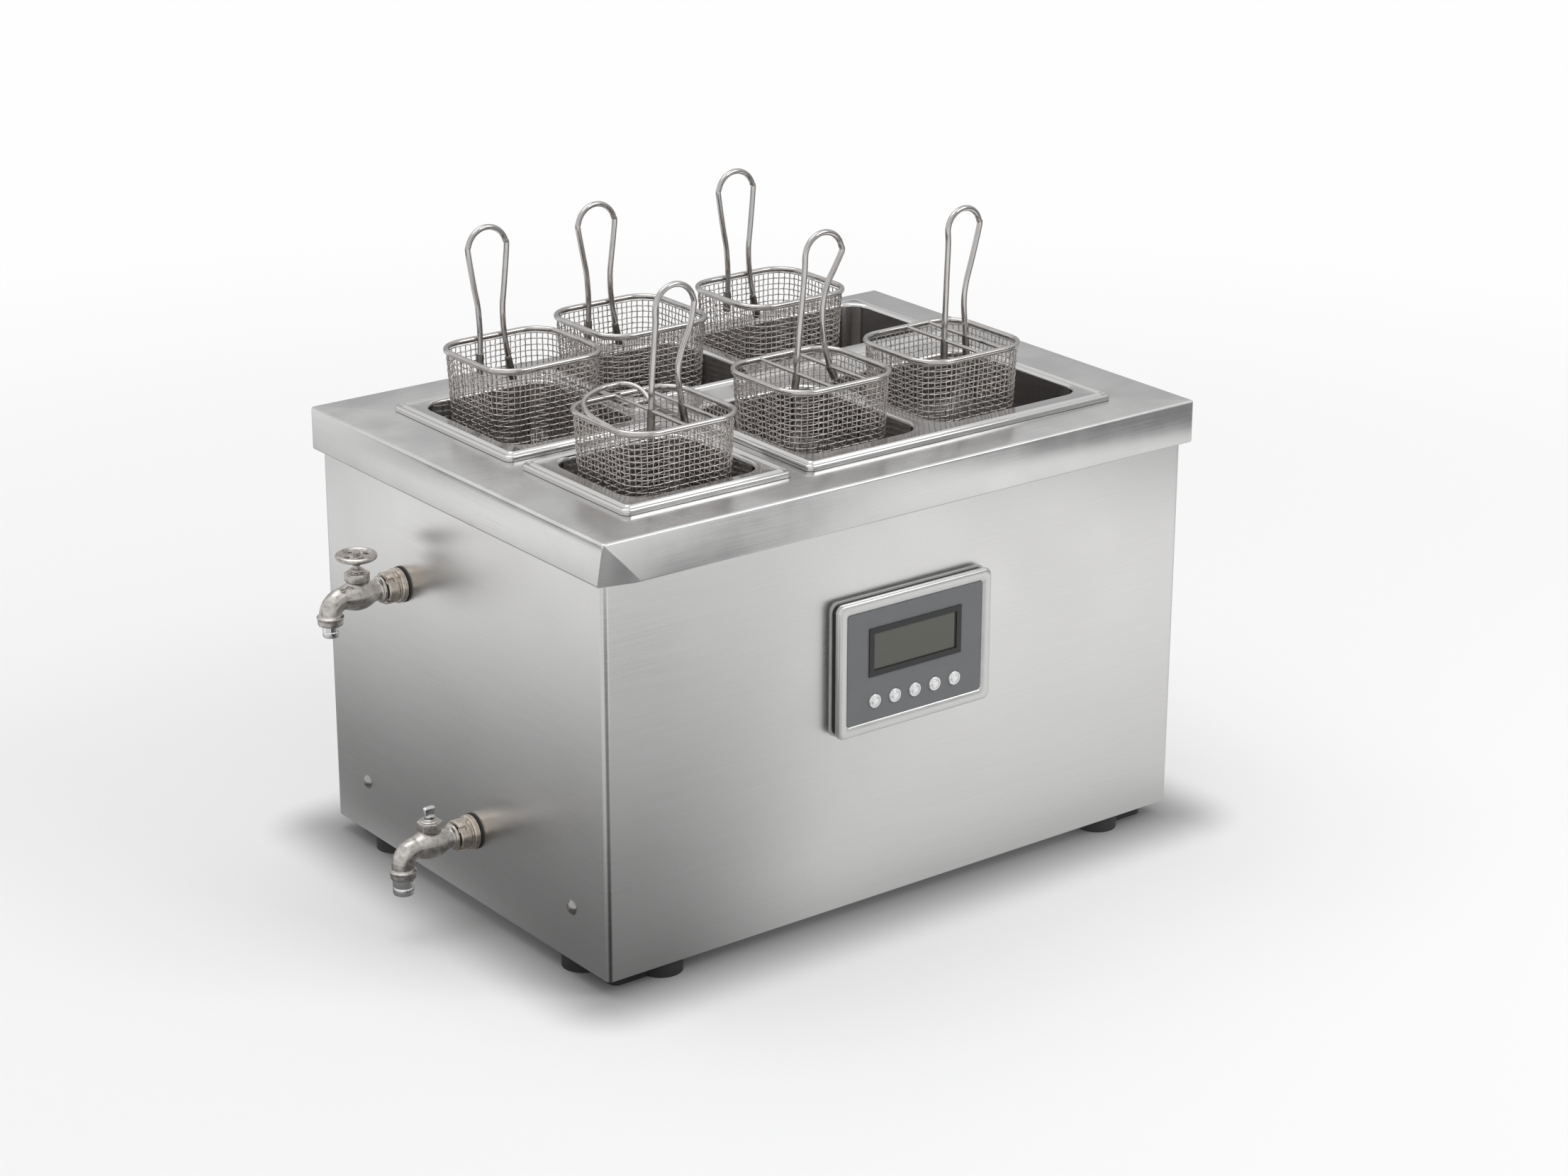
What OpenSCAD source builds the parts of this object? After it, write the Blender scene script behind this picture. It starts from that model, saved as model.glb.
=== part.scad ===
// Bench-top pasta cooker: a sheet-steel housing with a heated water tank,
// four drop-in well pans, six wire baskets, two taps and a control panel.
// X runs along the front, Y to the back and Z up, with the feet on Z = 0.

/* [Housing] */
// Height of the folded skirt of the deck
skirt_h = 38; // [30:1:60]
// Height of the casing from its lower edge to the skirt
body_h = 340; // [335:5:420]
// Height of the rubber feet
foot_h = 14; // [10:1:30]
// Thickness of the housing sheet
sheet = 1.2; // [1:0.1:2]
// How far the casing stands inside the deck at the sides
side_inset = 5; // [5:0.5:12]
// How far the casing stands inside the deck at front and back
front_inset = 9; // [9:0.5:16]
// Outer radius of the upright bends of the casing
bend_r = 5; // [3:0.5:8]
// Radius of the upright corners of the deck
deck_corner_r = 3; // [2:0.5:5]
// Length of the corner facet along the left skirt, at its lower edge
facet_side = 10; // [8:0.5:11]
// Length of the corner facet along the front skirt, at its lower edge
facet_front = 34; // [25:1:40]
// Width of the rear returns of the casing
return_w = 18; // [15:1:30]
// Height of the upturned flanges of the base tray
tray_h = 58; // [56:1:62]
// Thickness of the base tray
tray_t = 1.5; // [1.2:0.1:2.5]

/* [Pans] */
// Deck margin left of the two single pans
left_margin = 51; // [46:1:58]
// Deck margin right of the main pan
right_margin = 57; // [50:1:66]
// Deck margin in front of the front pans
front_margin = 43; // [43:1:50]
// Deck margin behind the rear left pan
rear_margin = 52; // [42:1:58]
// Deck margin right of the back pan
back_right_margin = 44; // [34:1:54]
// Deck margin behind the back pan
back_margin = 26; // [24:1:32]
// Free width beside the basket in the front left well
front_spare_w = 14; // [12:1:40]
// Free depth beside the basket in the front left well
front_spare_d = 12; // [12:1:24]
// Free width beside the basket in the rear left well
rear_spare_w = 12; // [12:1:36]
// Free width beside the basket in the main pan's left well
main_left_spare_w = 8; // [8:1:30]
// Free width beside the basket in the main pan's right well
main_right_spare_w = 44; // [20:1:70]
// Free depth beside the baskets in the main pan
main_spare_d = 53; // [45:1:80]
// Free width beside the basket in the back pan's left well
back_left_spare_w = 20; // [12:1:40]
// How much further back the back pan's right well begins
back_step = 16; // [8:1:20]
// Free depth beside the baskets in the back pan
back_spare_d = 19; // [12:1:30]
// Gap between the left pans and the main pan
column_gap = 16; // [12:1:20]
// Gap between the two left pans
row_gap = 17; // [12:1:24]
// Gap between the rear left pan and the back pan
rear_gap = 6; // [4:1:8]
// Gap between the main pan and the back pan
pan_gap = 2; // [1:0.5:4]
// Depth of the wells below the pan rim
well_depth = 75; // [68:1:90]
// Inner corner radius of the wells
well_r = 22; // [16:1:24]
// Thickness of the pan sheet
pan_t = 1; // [0.8:0.1:1.5]
// Height of the pan rim above the deck
rim_h = 5; // [4:0.5:8]
// Height of the ridge round the pan rim
ridge_h = 1.6; // [1:0.2:3]
// Width of the ridge round the pan rim
ridge_w = 4; // [3:0.5:6]
// Distance from the rim's edge to its ridge
ridge_inset = 6; // [5:0.5:7]
// Width of the bridge between the main pan's wells
bridge_w = 18; // [16:1:24]
// Width of the bridge between the back pan's wells
back_bridge_w = 15; // [12:1:20]
// Radius of the water holes in the well floors
water_hole_r = 4; // [3:0.5:5]
// Spacing of the water holes
water_hole_pitch = 36; // [30:1:44]

/* [Baskets] */
// Width of a basket over its rim wire
basket_w = 116; // [104:1:130]
// Depth of a basket over its rim wire
basket_d = 108; // [96:1:120]
// How far the basket rim stands above the deck
basket_rise = 55; // [45:1:70]
// Diameter of the rim and handle wire
wire_d = 5; // [4:0.5:5.5]
// Outer corner radius of the basket rim
basket_corner_r = 28; // [22:1:32]
// Wall thickness of the basket's mesh
mesh_t = 1; // [0.8:0.1:1.4]
// How much narrower each side of the mesh is at the floor
mesh_taper = 6; // [4:0.5:8]
// Height of the sloping lower edge of the mesh
mesh_foot_h = 8; // [5:1:10]
// Rise of a back-row handle above the basket rim
rear_handle_rise = 97; // [80:1:110]
// Rise of a front-row handle above the basket rim
front_handle_rise = 118; // [100:1:140]
// How much lower than the others in the front row basket 5's handle stands
handle_5_drop = 14; // [0:1:18]
// Width of the handle's round top over the wire
handle_w = 44; // [38:1:50]
// Distance between the axes of the handle's legs
handle_leg_gap = 26; // [22:1:28]
// How far the longer handle leg reaches below the rim
long_leg = 42; // [36:1:50]
// How far the shorter handle leg reaches below the rim
short_leg = 28; // [20:1:34]
// Diameter of the cross wires that carry a front-row handle
cross_wire_d = 3.5; // [3:0.5:4]

/* [Taps] */
// How far the upper tap stands behind the casing's middle
upper_tap_rearward = 87.5; // [70:0.5:110]
// Depth of the upper tap's axis below the casing's upper edge
upper_tap_below = 86; // [70:1:110]
// How far the lower tap stands in front of the casing's middle
lower_tap_forward = 14.7; // [5:0.1:50]
// Height of the lower tap above the casing's lower edge
lower_tap_h = 63.5; // [60:0.5:100]
// Distance of the spout's axis from the casing wall
spout_reach = 70; // [64:1:84]
// Outer radius of the tap barrel and spout
barrel_r = 9.6; // [9:0.1:10.5]
// Radius of the water way through taps and pipes
water_way_r = 6; // [5:0.1:6.3]
// Radius of the tap's round valve chamber
chamber_r = 12.5; // [11.5:0.1:14]
// Distance of the valve chamber from the casing wall
chamber_reach = 43; // [41:0.5:46]
// Radius of the elbow's centre line
elbow_r = 13; // [12:0.5:15]
// Depth of the upper spout's end below the tap axis
upper_drop = 31; // [30:1:40]
// Depth of the lower spout's end below the tap axis
lower_drop = 38; // [37:1:50]
// Outer radius of the upper nozzle
upper_nozzle_r = 7; // [6.8:0.1:8.5]
// Outer radius of the lower nozzle
lower_nozzle_r = 9; // [8.5:0.1:10]
// Radius of the handwheel
wheel_r = 17.5; // [15:0.5:22]
// Radius of the tap spindles
spindle_r = 3; // [2.5:0.1:3.5]
// Running clearance of a spindle in its bonnet
spindle_clearance = 0.06; // [0.03:0.01:0.1]

/* [Control panel] */
// Width of the control panel's bezel
panel_w = 163; // [150:1:180]
// Height of the control panel's bezel
panel_h = 118; // [110:1:130]
// Depth of the panel's centre below the casing's upper edge
panel_below = 123.5; // [100:0.5:160]
// Visible thickness of the case between wall and bezel
case_front_t = 6.5; // [5:0.5:10]
// Thickness of the bezel
bezel_t = 4.5; // [3.5:0.5:6]
// Width of the bezel's frame
bezel_w = 10; // [8:0.5:12]
// Thickness of the panel gasket
gasket_t = 1.2; // [1:0.1:2]
// Depth of the case behind the wall
case_depth = 28; // [22:1:31]
// Width of the display opening
display_w = 88; // [80:1:96]
// Height of the display opening
display_h = 32.5; // [28:0.5:34]
// Width of the black frame round the display
display_frame_w = 5; // [4:0.5:6]
// Radius of a push button
button_r = 6.2; // [5:0.1:6.6]
// Distance between two buttons
button_pitch = 21.3; // [19:0.1:23]
// Number of push buttons
button_count = 5; // [5]
// Travel of a push button
button_travel = 1; // [0.6:0.1:1.4]

/* [Hidden] */

$fn = 48;
overrun = 1;
fit_gap = 0.3;
weld = 0.3;
count_slack = 0.05;

// Flange widths of the pans round their wells: left, right, front and back
front_flanges = [22, 14, 20, 10];
rear_flanges = [19, 10, 21, 12];
main_flanges = [16, 12, 25, 42];
back_flanges = [8, 8, 8, 8];

// Wells are as large as a basket and its free space, and flanges go round them
main_left_well_w = basket_w + main_left_spare_w;
back_left_well_w = basket_w + back_left_spare_w;
front_pan_w = front_flanges[0] + basket_w + front_spare_w + front_flanges[1];
front_pan_d = front_flanges[2] + basket_d + front_spare_d + front_flanges[3];
rear_pan_w = rear_flanges[0] + basket_w + rear_spare_w + rear_flanges[1];
main_pan_w = main_flanges[0] + main_left_well_w + bridge_w + basket_w + main_right_spare_w
    + main_flanges[1];
main_pan_d = main_flanges[2] + basket_d + main_spare_d + main_flanges[3];
back_pan_d = back_flanges[2] + basket_d + back_spare_d + back_flanges[3];

// The deck goes round the front row of pans and round the main and back pans
deck_w = left_margin + front_pan_w + column_gap + main_pan_w + right_margin;
deck_d = front_margin + main_pan_d + pan_gap + back_pan_d + back_margin;

// Overall levels and the casing's plan
body_w = deck_w - 2 * side_inset;
body_d = deck_d - 2 * front_inset;
deck_top = foot_h + body_h + skirt_h;
deck_under = deck_top - sheet;
wall_x = body_w / 2;
wall_y = body_d / 2;
inner_x = wall_x - sheet;
inner_y = wall_y - sheet;

// Pans: the two derived sizes fill what their neighbours leave, and each
// corner is measured from the deck's front left corner
pan_seat = 5;
pan_corner_r = 3;
rear_pan_d = deck_d - front_margin - front_pan_d - row_gap - rear_margin;
back_pan_w = deck_w - left_margin - rear_pan_w - rear_gap - back_right_margin;
front_pan_at = [left_margin, front_margin];
rear_pan_at = [left_margin, front_margin + front_pan_d + row_gap];
main_pan_at = [left_margin + front_pan_w + column_gap, front_margin];
back_pan_at = [left_margin + rear_pan_w + rear_gap, front_margin + main_pan_d + pan_gap];
well_floor = deck_top + rim_h - well_depth;

// A pan's wells as corner and size, from its size, flanges and left well
function one_well(w, d, f) = [[f[0], f[2], w - f[0] - f[1], d - f[2] - f[3]]];
function two_wells(w, d, f, first, bridge, step) = [
    [f[0], f[2], first, d - f[2] - f[3]],
    [f[0] + first + bridge, f[2] + step,
        w - f[0] - f[1] - first - bridge, d - f[2] - f[3] - step],
];
front_wells = one_well(front_pan_w, front_pan_d, front_flanges);
rear_wells = one_well(rear_pan_w, rear_pan_d, rear_flanges);
main_wells = two_wells(main_pan_w, main_pan_d, main_flanges, main_left_well_w, bridge_w, 0);
back_wells = two_wells(back_pan_w, back_pan_d, back_flanges, back_left_well_w, back_bridge_w,
    back_step);

// Baskets: the pan's corner, the well, where the basket stands in it as a share
// of the free width and depth, and the handle's place and rise.
basket_base = well_floor;
rim_axis_z = deck_top + basket_rise - wire_d / 2;
mesh_side_gap = 1.8;
mesh_top = rim_axis_z - wire_d / 2 - fit_gap / 2;
mesh_w = basket_w - wire_d - 2 * mesh_side_gap + wire_d / 2;
mesh_d = basket_d - wire_d - 2 * mesh_side_gap + wire_d / 2;
mesh_corner_r = basket_corner_r - wire_d;
mesh_flat_w = mesh_w - 2 * mesh_corner_r;
mesh_flat_d = mesh_d - 2 * mesh_corner_r;
mesh_slope = atan2(mesh_taper, mesh_top - basket_base);
mesh_foot_share = 0.35;
handle_leg_y = mesh_d / 2 - mesh_t - fit_gap - wire_d / 2;
handle_lean = 9;
knuckle_d = wire_d + fit_gap;
front_handle_shift = 10;
// Depth of a front-row leg's end below the rim axis, for the short and long leg
front_leg_ends = [16, 20];
handle_drops = [0, 0, 0, 0, handle_5_drop, 0];
rim_level_share = (basket_rise - rim_h) / (basket_rise - rim_h + well_depth);
stand_w = mesh_w - 2 * mesh_taper * rim_level_share;
stand_d = mesh_d - 2 * mesh_taper * rim_level_share;
stand_shares = [
    [0.9, 0.95], [0.03, 0.9], [0.04, 0.8],
    [0.03, 0.26], [0.32, 0.38], [0.06, 0.24],
];
basket_pans = [rear_pan_at, back_pan_at, back_pan_at, main_pan_at, front_pan_at, main_pan_at];
basket_wells = [
    rear_wells[0], back_wells[0], back_wells[1],
    main_wells[1], front_wells[0], main_wells[0],
];
is_front = [false, false, false, true, true, true];

// Centre of basket i on the deck, measured from the deck's front left corner
function stand(well, size, share, axis) =
    well[axis] + size / 2 + fit_gap + (well[axis + 2] - size - 2 * fit_gap) * share;
function basket_at(i) = [
    basket_pans[i][0] + stand(basket_wells[i], stand_w, stand_shares[i][0], 0) - deck_w / 2,
    basket_pans[i][1] + stand(basket_wells[i], stand_d, stand_shares[i][1], 1) - deck_d / 2,
];

// Taps, in a frame on the wall with Z pointing out of it and X up
tap_y = [upper_tap_rearward, -lower_tap_forward];
tap_z = [foot_h + body_h - upper_tap_below, foot_h + lower_tap_h];
tap_drop = [upper_drop, lower_drop];
nozzle_r = [upper_nozzle_r, lower_nozzle_r];
nozzle_len = [10.5, 14];
collar_h = 7;
collar_r = 10.8;
pipe_r = 8.4;
wall_hole_gap = 0.5;
washer_t = 1.5;
washer_r = 15.5;
coupling_flange_t = 6;
coupling_flange_r = 15;
coupling_nut_t = 12;
coupling_nut_r = 13.6;
coupling_slot_w = 3.5;
coupling_slot_depth = 3;
coupling_gap = 0.1;
pipe_out = 10;
tap_start = washer_t + pipe_out;
neck_ring_t = 3;
boss_r = 8.5;
boss_h = 12.5;
bonnet_r = 11;
bonnet_h = 8;
bonnet_collar_r = 6;
bonnet_collar_h = 3;
valve_r = 4.4;
valve_t = 4;
valve_bore_r = 5;
bonnet_top = boss_h + bonnet_h + bonnet_collar_h;
wheel_rim_r = 2.6;
wheel_rim_h = 36;
wheel_hub_r = 5;
wheel_cone_top_r = 12;
wheel_cone_h = 8.5;
wheel_web_t = 2.5;
wheel_holes = 4;
wheel_hole_r = 2.6;
wheel_hole_at = 8.6;
wheel_nut_r = 3.6;
wheel_nut_h = 3;
wheel_bore_gap = 0.02;
tab_w = 10.5;
tab_t = 5;
tab_h = 10;
tab_hub_r = 4.6;
tab_hub_h = 2;

// Tank, hung under the deck, and what is in it
tank_t = 1.2;
tank_clear = 10;
tank_depth = 190;
tank_lip = 9;
tank_x0 = left_margin - tank_clear + pan_seat;
tank_right_gap = 6;
tank_front_gap = 42;
tank_back_gap = 13;
tank_low = [tank_x0 - deck_w / 2, -inner_y + tank_front_gap];
tank_high = [inner_x - tank_right_gap, inner_y - tank_back_gap];
tank_floor = deck_under - tank_depth;
element_r = 4.25;
element_rise = 38;
element_z = tank_floor + element_rise;
element_leg_gap = 50;
element_end_gap = 60;
element_front_share = 0.28;
element_tail = 10;
terminal_r = 2;
terminal_len = 12;
element_nut_r = 9;
element_nut_t = 6;
probe_r = 3;
probe_len = 120;
probe_tail = 8;
probe_nut_r = 7;
probe_nut_t = 5;
probe_rise = 30;
probe_y = -4;
hole_gap = 0.1;
drain_in = 26;
drain_flange_r = 16;
drain_flange_t = 2.5;
drain_bend_r = 16;
nipple_flange_r = 13;
nipple_flange_t = 3;

// Inside the casing
thermostat_size = [34, 30, 26];
thermostat_side = 153.8;
thermostat_back = 170.8;
thermostat_at = [-inner_x + thermostat_side, inner_y - thermostat_back];
thermostat_knob_r = 5;
thermostat_knob_h = 8;
relay_size = [58, 44, 26];
relay_side = 233.8;
relay_front = 150.8;
relay_at = [inner_x - relay_side, -inner_y + relay_front];
relay_plate_t = 4;
relay_plate_lip = 8;
terminal_size = [76, 24, 22];
terminal_side = 183.8;
terminal_back = 100.8;
terminal_at = [inner_x - terminal_side, inner_y - terminal_back];
terminal_slots = 6;
terminal_slot_w = 8;
terminal_slot_depth = 9;
gland_side = 93.8;
gland_x = inner_x - gland_side;
gland_z = 60;
gland_hole_r = 8;
gland_bore_r = 4.5;
gland_nut_r = 12;
gland_nut_t = 6;
gland_out = 22;
gland_dome_r = 9.5;
gland_inner = 8;
vent_count = 9;
vent_w = 5;
vent_h = 70;
vent_pitch = 16;
vent_z = 110;

// Screws of the casing
screw_r = 2.5;
screw_head_r = 6.5;
screw_head_h = 3.4;
screw_len = 9;
side_screw_z = 48;
side_screw_ends = [51.3, 53.7];
rear_screw_z_shares = [0.1, 0.5, 0.9];

// Feet: an angled pad along both walls with a round lobe at each end
foot_edge = 15;
foot_arm_w = 28;
foot_lobe_r = 18;
foot_lobe_in = 20;
foot_reach = 66;
foot_peg_r = 4;
foot_peg_h = 6;

// Control panel, in a frame on the wall with Z pointing out of it
case_out = gasket_t + case_front_t;
bezel_out = case_out + bezel_t;
case_r = 7;
case_wall = 2;
case_inset = 1.5;
cutout_w = panel_w - 2 * bezel_w;
cutout_h = panel_h - 2 * bezel_w;
cutout_r = 4;
face_t = 2;
face_gap = 0.2;
face_recess = 1.5;
face_w = panel_w - 2 * bezel_w - 2 * face_gap;
face_h = panel_h - 2 * bezel_w - 2 * face_gap;
face_r = 3;
face_top = bezel_out - face_recess;
display_top_margin = 16;
display_frame_out = 1;
display_z = face_h / 2 - display_top_margin - display_frame_w - display_h / 2;
window_t = 1.5;
window_sink = 0.6;
button_bottom_margin = 17;
button_row_z = -face_h / 2 + button_bottom_margin;
button_gap = 0.25;
button_out = 1.8;
button_flange_r = button_r + 1;
button_flange_t = 1;
button_stem_r = 1.6;
board_t = 1.6;
board_gap = 4;
board_back = face_top - face_t - button_flange_t - button_travel - board_gap;
switch_h = board_gap - fit_gap - button_travel;
switch_w = 5;
boss_post_r = 3;

// The frame's origin is the middle of the whole object's box, on the floor
low_x = -wall_x - spout_reach - collar_r;
high_x = deck_w / 2;
low_y = -wall_y - face_top - button_out;
high_y = wall_y + gland_out;
frame_x = -(low_x + high_x) / 2;
frame_y = -(low_y + high_y) / 2;

module in_frame() {
    translate([frame_x, frame_y, 0]) children();
}

// Rectangle with round corners, from its lower left corner
module rounded(w, d, r) {
    translate([r, 0]) square([w - 2 * r, d]);
    translate([0, r]) square([w, d - 2 * r]);
    for (x = [r, w - r], y = [r, d - r]) translate([x, y]) circle(r);
}

module rounded_middle(w, d, r) {
    translate([-w / 2, -d / 2]) rounded(w, d, r);
}

// Half-space beyond the facet of the deck's front left corner
module facet_cut(inset) {
    normal = [-facet_side * skirt_h, -facet_front * skirt_h, -facet_side * facet_front];
    size = 4 * facet_front;
    translate([-deck_w / 2, -deck_d / 2, deck_top])
        rotate([0, acos(normal[2] / norm(normal)), atan2(normal[1], normal[0])])
            translate([-size / 2, -size / 2, -inset]) cube([size, size, size]);
}

module deck_block(inset, low, high) {
    difference() {
        translate([0, 0, low]) linear_extrude(high - low)
            rounded_middle(deck_w - 2 * inset, deck_d - 2 * inset, deck_corner_r - inset);
        facet_cut(inset);
    }
}

// Places its children at a point measured from the deck's front left corner
module on_deck(at) {
    translate([at[0] - deck_w / 2, at[1] - deck_d / 2, 0]) children();
}

module pan_cutout(at, w, d) {
    on_deck(at) translate([pan_seat, pan_seat, deck_top - sheet - overrun])
        linear_extrude(sheet + 2 * overrun)
            rounded(w - 2 * pan_seat, d - 2 * pan_seat, pan_seat);
}

module deck_cover() {
    color("gainsboro") in_frame() difference() {
        deck_block(0, deck_top - skirt_h, deck_top);
        deck_block(sheet, deck_top - skirt_h - overrun, deck_under);
        pan_cutout(front_pan_at, front_pan_w, front_pan_d);
        pan_cutout(rear_pan_at, rear_pan_w, rear_pan_d);
        pan_cutout(main_pan_at, main_pan_w, main_pan_d);
        pan_cutout(back_pan_at, back_pan_w, back_pan_d);
    }
}

// Frames on the left wall and on the front wall
module at_tap(i) {
    translate([-wall_x, tap_y[i], tap_z[i]]) rotate([0, -90, 0]) children();
}

module at_panel() {
    translate([0, -wall_y, foot_h + body_h - panel_below]) rotate([90, 0, 0]) children();
}

// Places of the side screws: side, distance along the wall
module at_side_screws() {
    for (side = [0, 1], end = [0, 1])
        translate([
            (2 * side - 1) * wall_x,
            (end == 0 ? -wall_y + side_screw_ends[0] : wall_y - side_screw_ends[1]),
            foot_h + side_screw_z,
        ]) rotate([0, 90 * (2 * side - 1), 0]) children();
}

module at_rear_screws() {
    for (side = [-1, 1], share = rear_screw_z_shares)
        translate([side * (wall_x - return_w / 2), wall_y, foot_h + body_h * share])
            rotate([-90, 0, 0]) children();
}

module screw_hole(depth) {
    translate([0, 0, -depth]) cylinder(r = screw_r + hole_gap, h = depth + overrun);
}

module wrap_panel() {
    color("silver") in_frame() difference() {
        translate([0, 0, foot_h]) linear_extrude(deck_under - foot_h) difference() {
            rounded_middle(body_w, body_d, bend_r);
            rounded_middle(body_w - 2 * sheet, body_d - 2 * sheet, bend_r - sheet);
            translate([-wall_x + return_w, 0]) square([body_w - 2 * return_w, body_d]);
        }
        at_panel() translate([0, 0, -sheet - overrun]) linear_extrude(sheet + 2 * overrun)
            rounded_middle(cutout_w, cutout_h, cutout_r);
        for (i = [0, 1]) at_tap(i)
            translate([0, 0, -sheet - overrun])
                cylinder(r = pipe_r + wall_hole_gap, h = sheet + 2 * overrun);
        at_side_screws() screw_hole(sheet + overrun);
        at_rear_screws() screw_hole(sheet + overrun);
    }
}

// The rear panel lies inside the returns and ends where their bends begin
module rear_panel() {
    panel_rear_w = body_w - 2 * bend_r - 2 * fit_gap;
    color("silver") in_frame() difference() {
        translate([-panel_rear_w / 2, inner_y - sheet, foot_h])
            cube([panel_rear_w, sheet, deck_under - foot_h]);
        for (i = [0:vent_count - 1])
            translate([(i - (vent_count - 1) / 2) * vent_pitch, inner_y + overrun, foot_h + vent_z])
                rotate([90, 0, 0]) linear_extrude(sheet + 2 * overrun)
                    rounded_middle(vent_w, vent_h, vent_w / 2 - hole_gap);
        translate([gland_x, inner_y + overrun, foot_h + gland_z]) rotate([90, 0, 0])
            cylinder(r = gland_hole_r, h = sheet + 2 * overrun);
        at_rear_screws() screw_hole(2 * sheet + overrun);
    }
}

// The tray fits inside the walls, with its rear flange against the rear panel
tray_w = body_w - 2 * sheet - 2 * fit_gap;
tray_front = -inner_y + fit_gap;
tray_back = inner_y - sheet - fit_gap / 2;
tray_r = bend_r - sheet;

module base_tray() {
    color("lightslategray") in_frame() difference() {
        translate([-tray_w / 2, tray_front, foot_h])
            linear_extrude(tray_h) rounded(tray_w, tray_back - tray_front, tray_r);
        translate([-tray_w / 2 + tray_t, tray_front + tray_t, foot_h + tray_t])
            linear_extrude(tray_h)
                rounded(tray_w - 2 * tray_t, tray_back - tray_front - 2 * tray_t, tray_r - tray_t);
        at_side_screws() screw_hole(sheet + fit_gap + tray_t + overrun);
        at_rear_screws() screw_hole(2 * sheet + fit_gap + tray_t + overrun);
        at_tap(1) translate([0, 0, -sheet - fit_gap - tray_t - overrun])
            cylinder(r = pipe_r + overrun, h = tray_t + fit_gap + 2 * overrun);
        translate([gland_x, tray_back + overrun, foot_h + gland_z]) rotate([90, 0, 0])
            cylinder(r = gland_nut_r + overrun, h = tray_t + 2 * overrun);
        for (sx = [-1, 1], sy = [-1, 1]) foot_place(sx, sy)
            translate([foot_lobe_in, foot_reach, -overrun])
                cylinder(r = foot_peg_r + hole_gap, h = tray_t + 2 * overrun);
        for (sx = [-1, 1], sy = [-1, 1]) foot_place(sx, sy)
            translate([foot_reach, foot_lobe_in, -overrun])
                cylinder(r = foot_peg_r + hole_gap, h = tray_t + 2 * overrun);
    }
}

// A foot's frame: its origin under a corner of the casing, X and Y inwards
module foot_place(sx, sy) {
    translate([sx * wall_x, sy * wall_y, foot_h])
        mirror([sx > 0 ? 1 : 0, 0, 0]) mirror([0, sy > 0 ? 1 : 0, 0]) children();
}

module foot(sx, sy) {
    color([0.08, 0.08, 0.08]) in_frame() foot_place(sx, sy) {
        translate([0, 0, -foot_h]) linear_extrude(foot_h) {
            translate([foot_edge, foot_edge]) rounded(foot_arm_w, foot_reach - foot_edge, foot_edge / 2);
            translate([foot_edge, foot_edge]) rounded(foot_reach - foot_edge, foot_arm_w, foot_edge / 2);
            translate([foot_lobe_in, foot_reach]) circle(foot_lobe_r);
            translate([foot_reach, foot_lobe_in]) circle(foot_lobe_r);
        }
        for (at = [[foot_lobe_in, foot_reach], [foot_reach, foot_lobe_in]])
            translate([at[0], at[1], -overrun]) cylinder(r = foot_peg_r, h = foot_peg_h + overrun);
    }
}

module foot_front_left() { foot(-1, -1); }
module foot_front_right() { foot(1, -1); }
module foot_rear_left() { foot(-1, 1); }
module foot_rear_right() { foot(1, 1); }

// Dome-headed screw along Z, its head outside
module dome_screw() {
    dome_r = (screw_head_r * screw_head_r + screw_head_h * screw_head_h) / (2 * screw_head_h);
    intersection() {
        translate([0, 0, screw_head_h - dome_r]) sphere(dome_r);
        cylinder(r = screw_head_r, h = screw_head_h);
    }
    translate([0, 0, -screw_len]) cylinder(r = screw_r, h = screw_len + weld);
}

module panel_screws() {
    color("whitesmoke") in_frame() {
        at_side_screws() dome_screw();
        at_rear_screws() dome_screw();
    }
}

module water_tank() {
    w = tank_high[0] - tank_low[0];
    d = tank_high[1] - tank_low[1];
    color("lightsteelblue") in_frame() difference() {
        translate([tank_low[0], tank_low[1], 0]) {
            translate([0, 0, tank_floor]) cube([w, d, tank_depth]);
            translate([-tank_lip, -tank_lip, deck_under - tank_t])
                cube([w + tank_lip + tank_right_gap / 2, d + tank_lip + tank_back_gap / 2, tank_t]);
        }
        translate([tank_low[0] + tank_t, tank_low[1] + tank_t, tank_floor + tank_t])
            cube([w - 2 * tank_t, d - 2 * tank_t, tank_depth]);
        for (y = element_leg_ys) tank_wall_hole(y, element_z, element_r);
        tank_wall_hole(probe_y, element_z + probe_rise, probe_r);
        tank_wall_hole(tap_y[0], tap_z[0], pipe_r);
        translate([tank_low[0] + drain_in, tap_y[1], tank_floor - overrun])
            cylinder(r = pipe_r + hole_gap, h = tank_t + 2 * overrun);
    }
}

module tank_wall_hole(y, z, r) {
    translate([tank_low[0] - overrun, y, z]) rotate([0, 90, 0])
        cylinder(r = r + hole_gap, h = tank_t + 2 * overrun);
}

// The rear heater's legs stand on either side of the upper tap's pipe
element_ys = [tank_low[1] + (tank_high[1] - tank_low[1]) * element_front_share, tap_y[0]];
element_leg_ys = [for (y = element_ys, side = [-1, 1]) y + side * element_leg_gap / 2];
element_len = tank_high[0] - tank_low[0] - element_end_gap;

// Hairpin heater with its legs through the tank's left wall
module element(i) {
    bend = element_leg_gap / 2;
    color("dimgray") in_frame() translate([tank_low[0], element_ys[i], element_z]) {
        for (side = [-1, 1]) translate([0, side * bend, 0]) rotate([0, 90, 0]) {
            translate([0, 0, -element_tail]) cylinder(r = element_r, h = element_len + element_tail);
            translate([0, 0, -element_tail - terminal_len]) cylinder(r = terminal_r, h = terminal_len);
        }
        translate([element_len, 0, 0]) rotate([0, 0, -90])
            rotate_extrude(angle = 180) translate([bend, 0]) circle(element_r);
    }
}

module element_front() { element(0); }
module element_rear() { element(1); }

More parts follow.
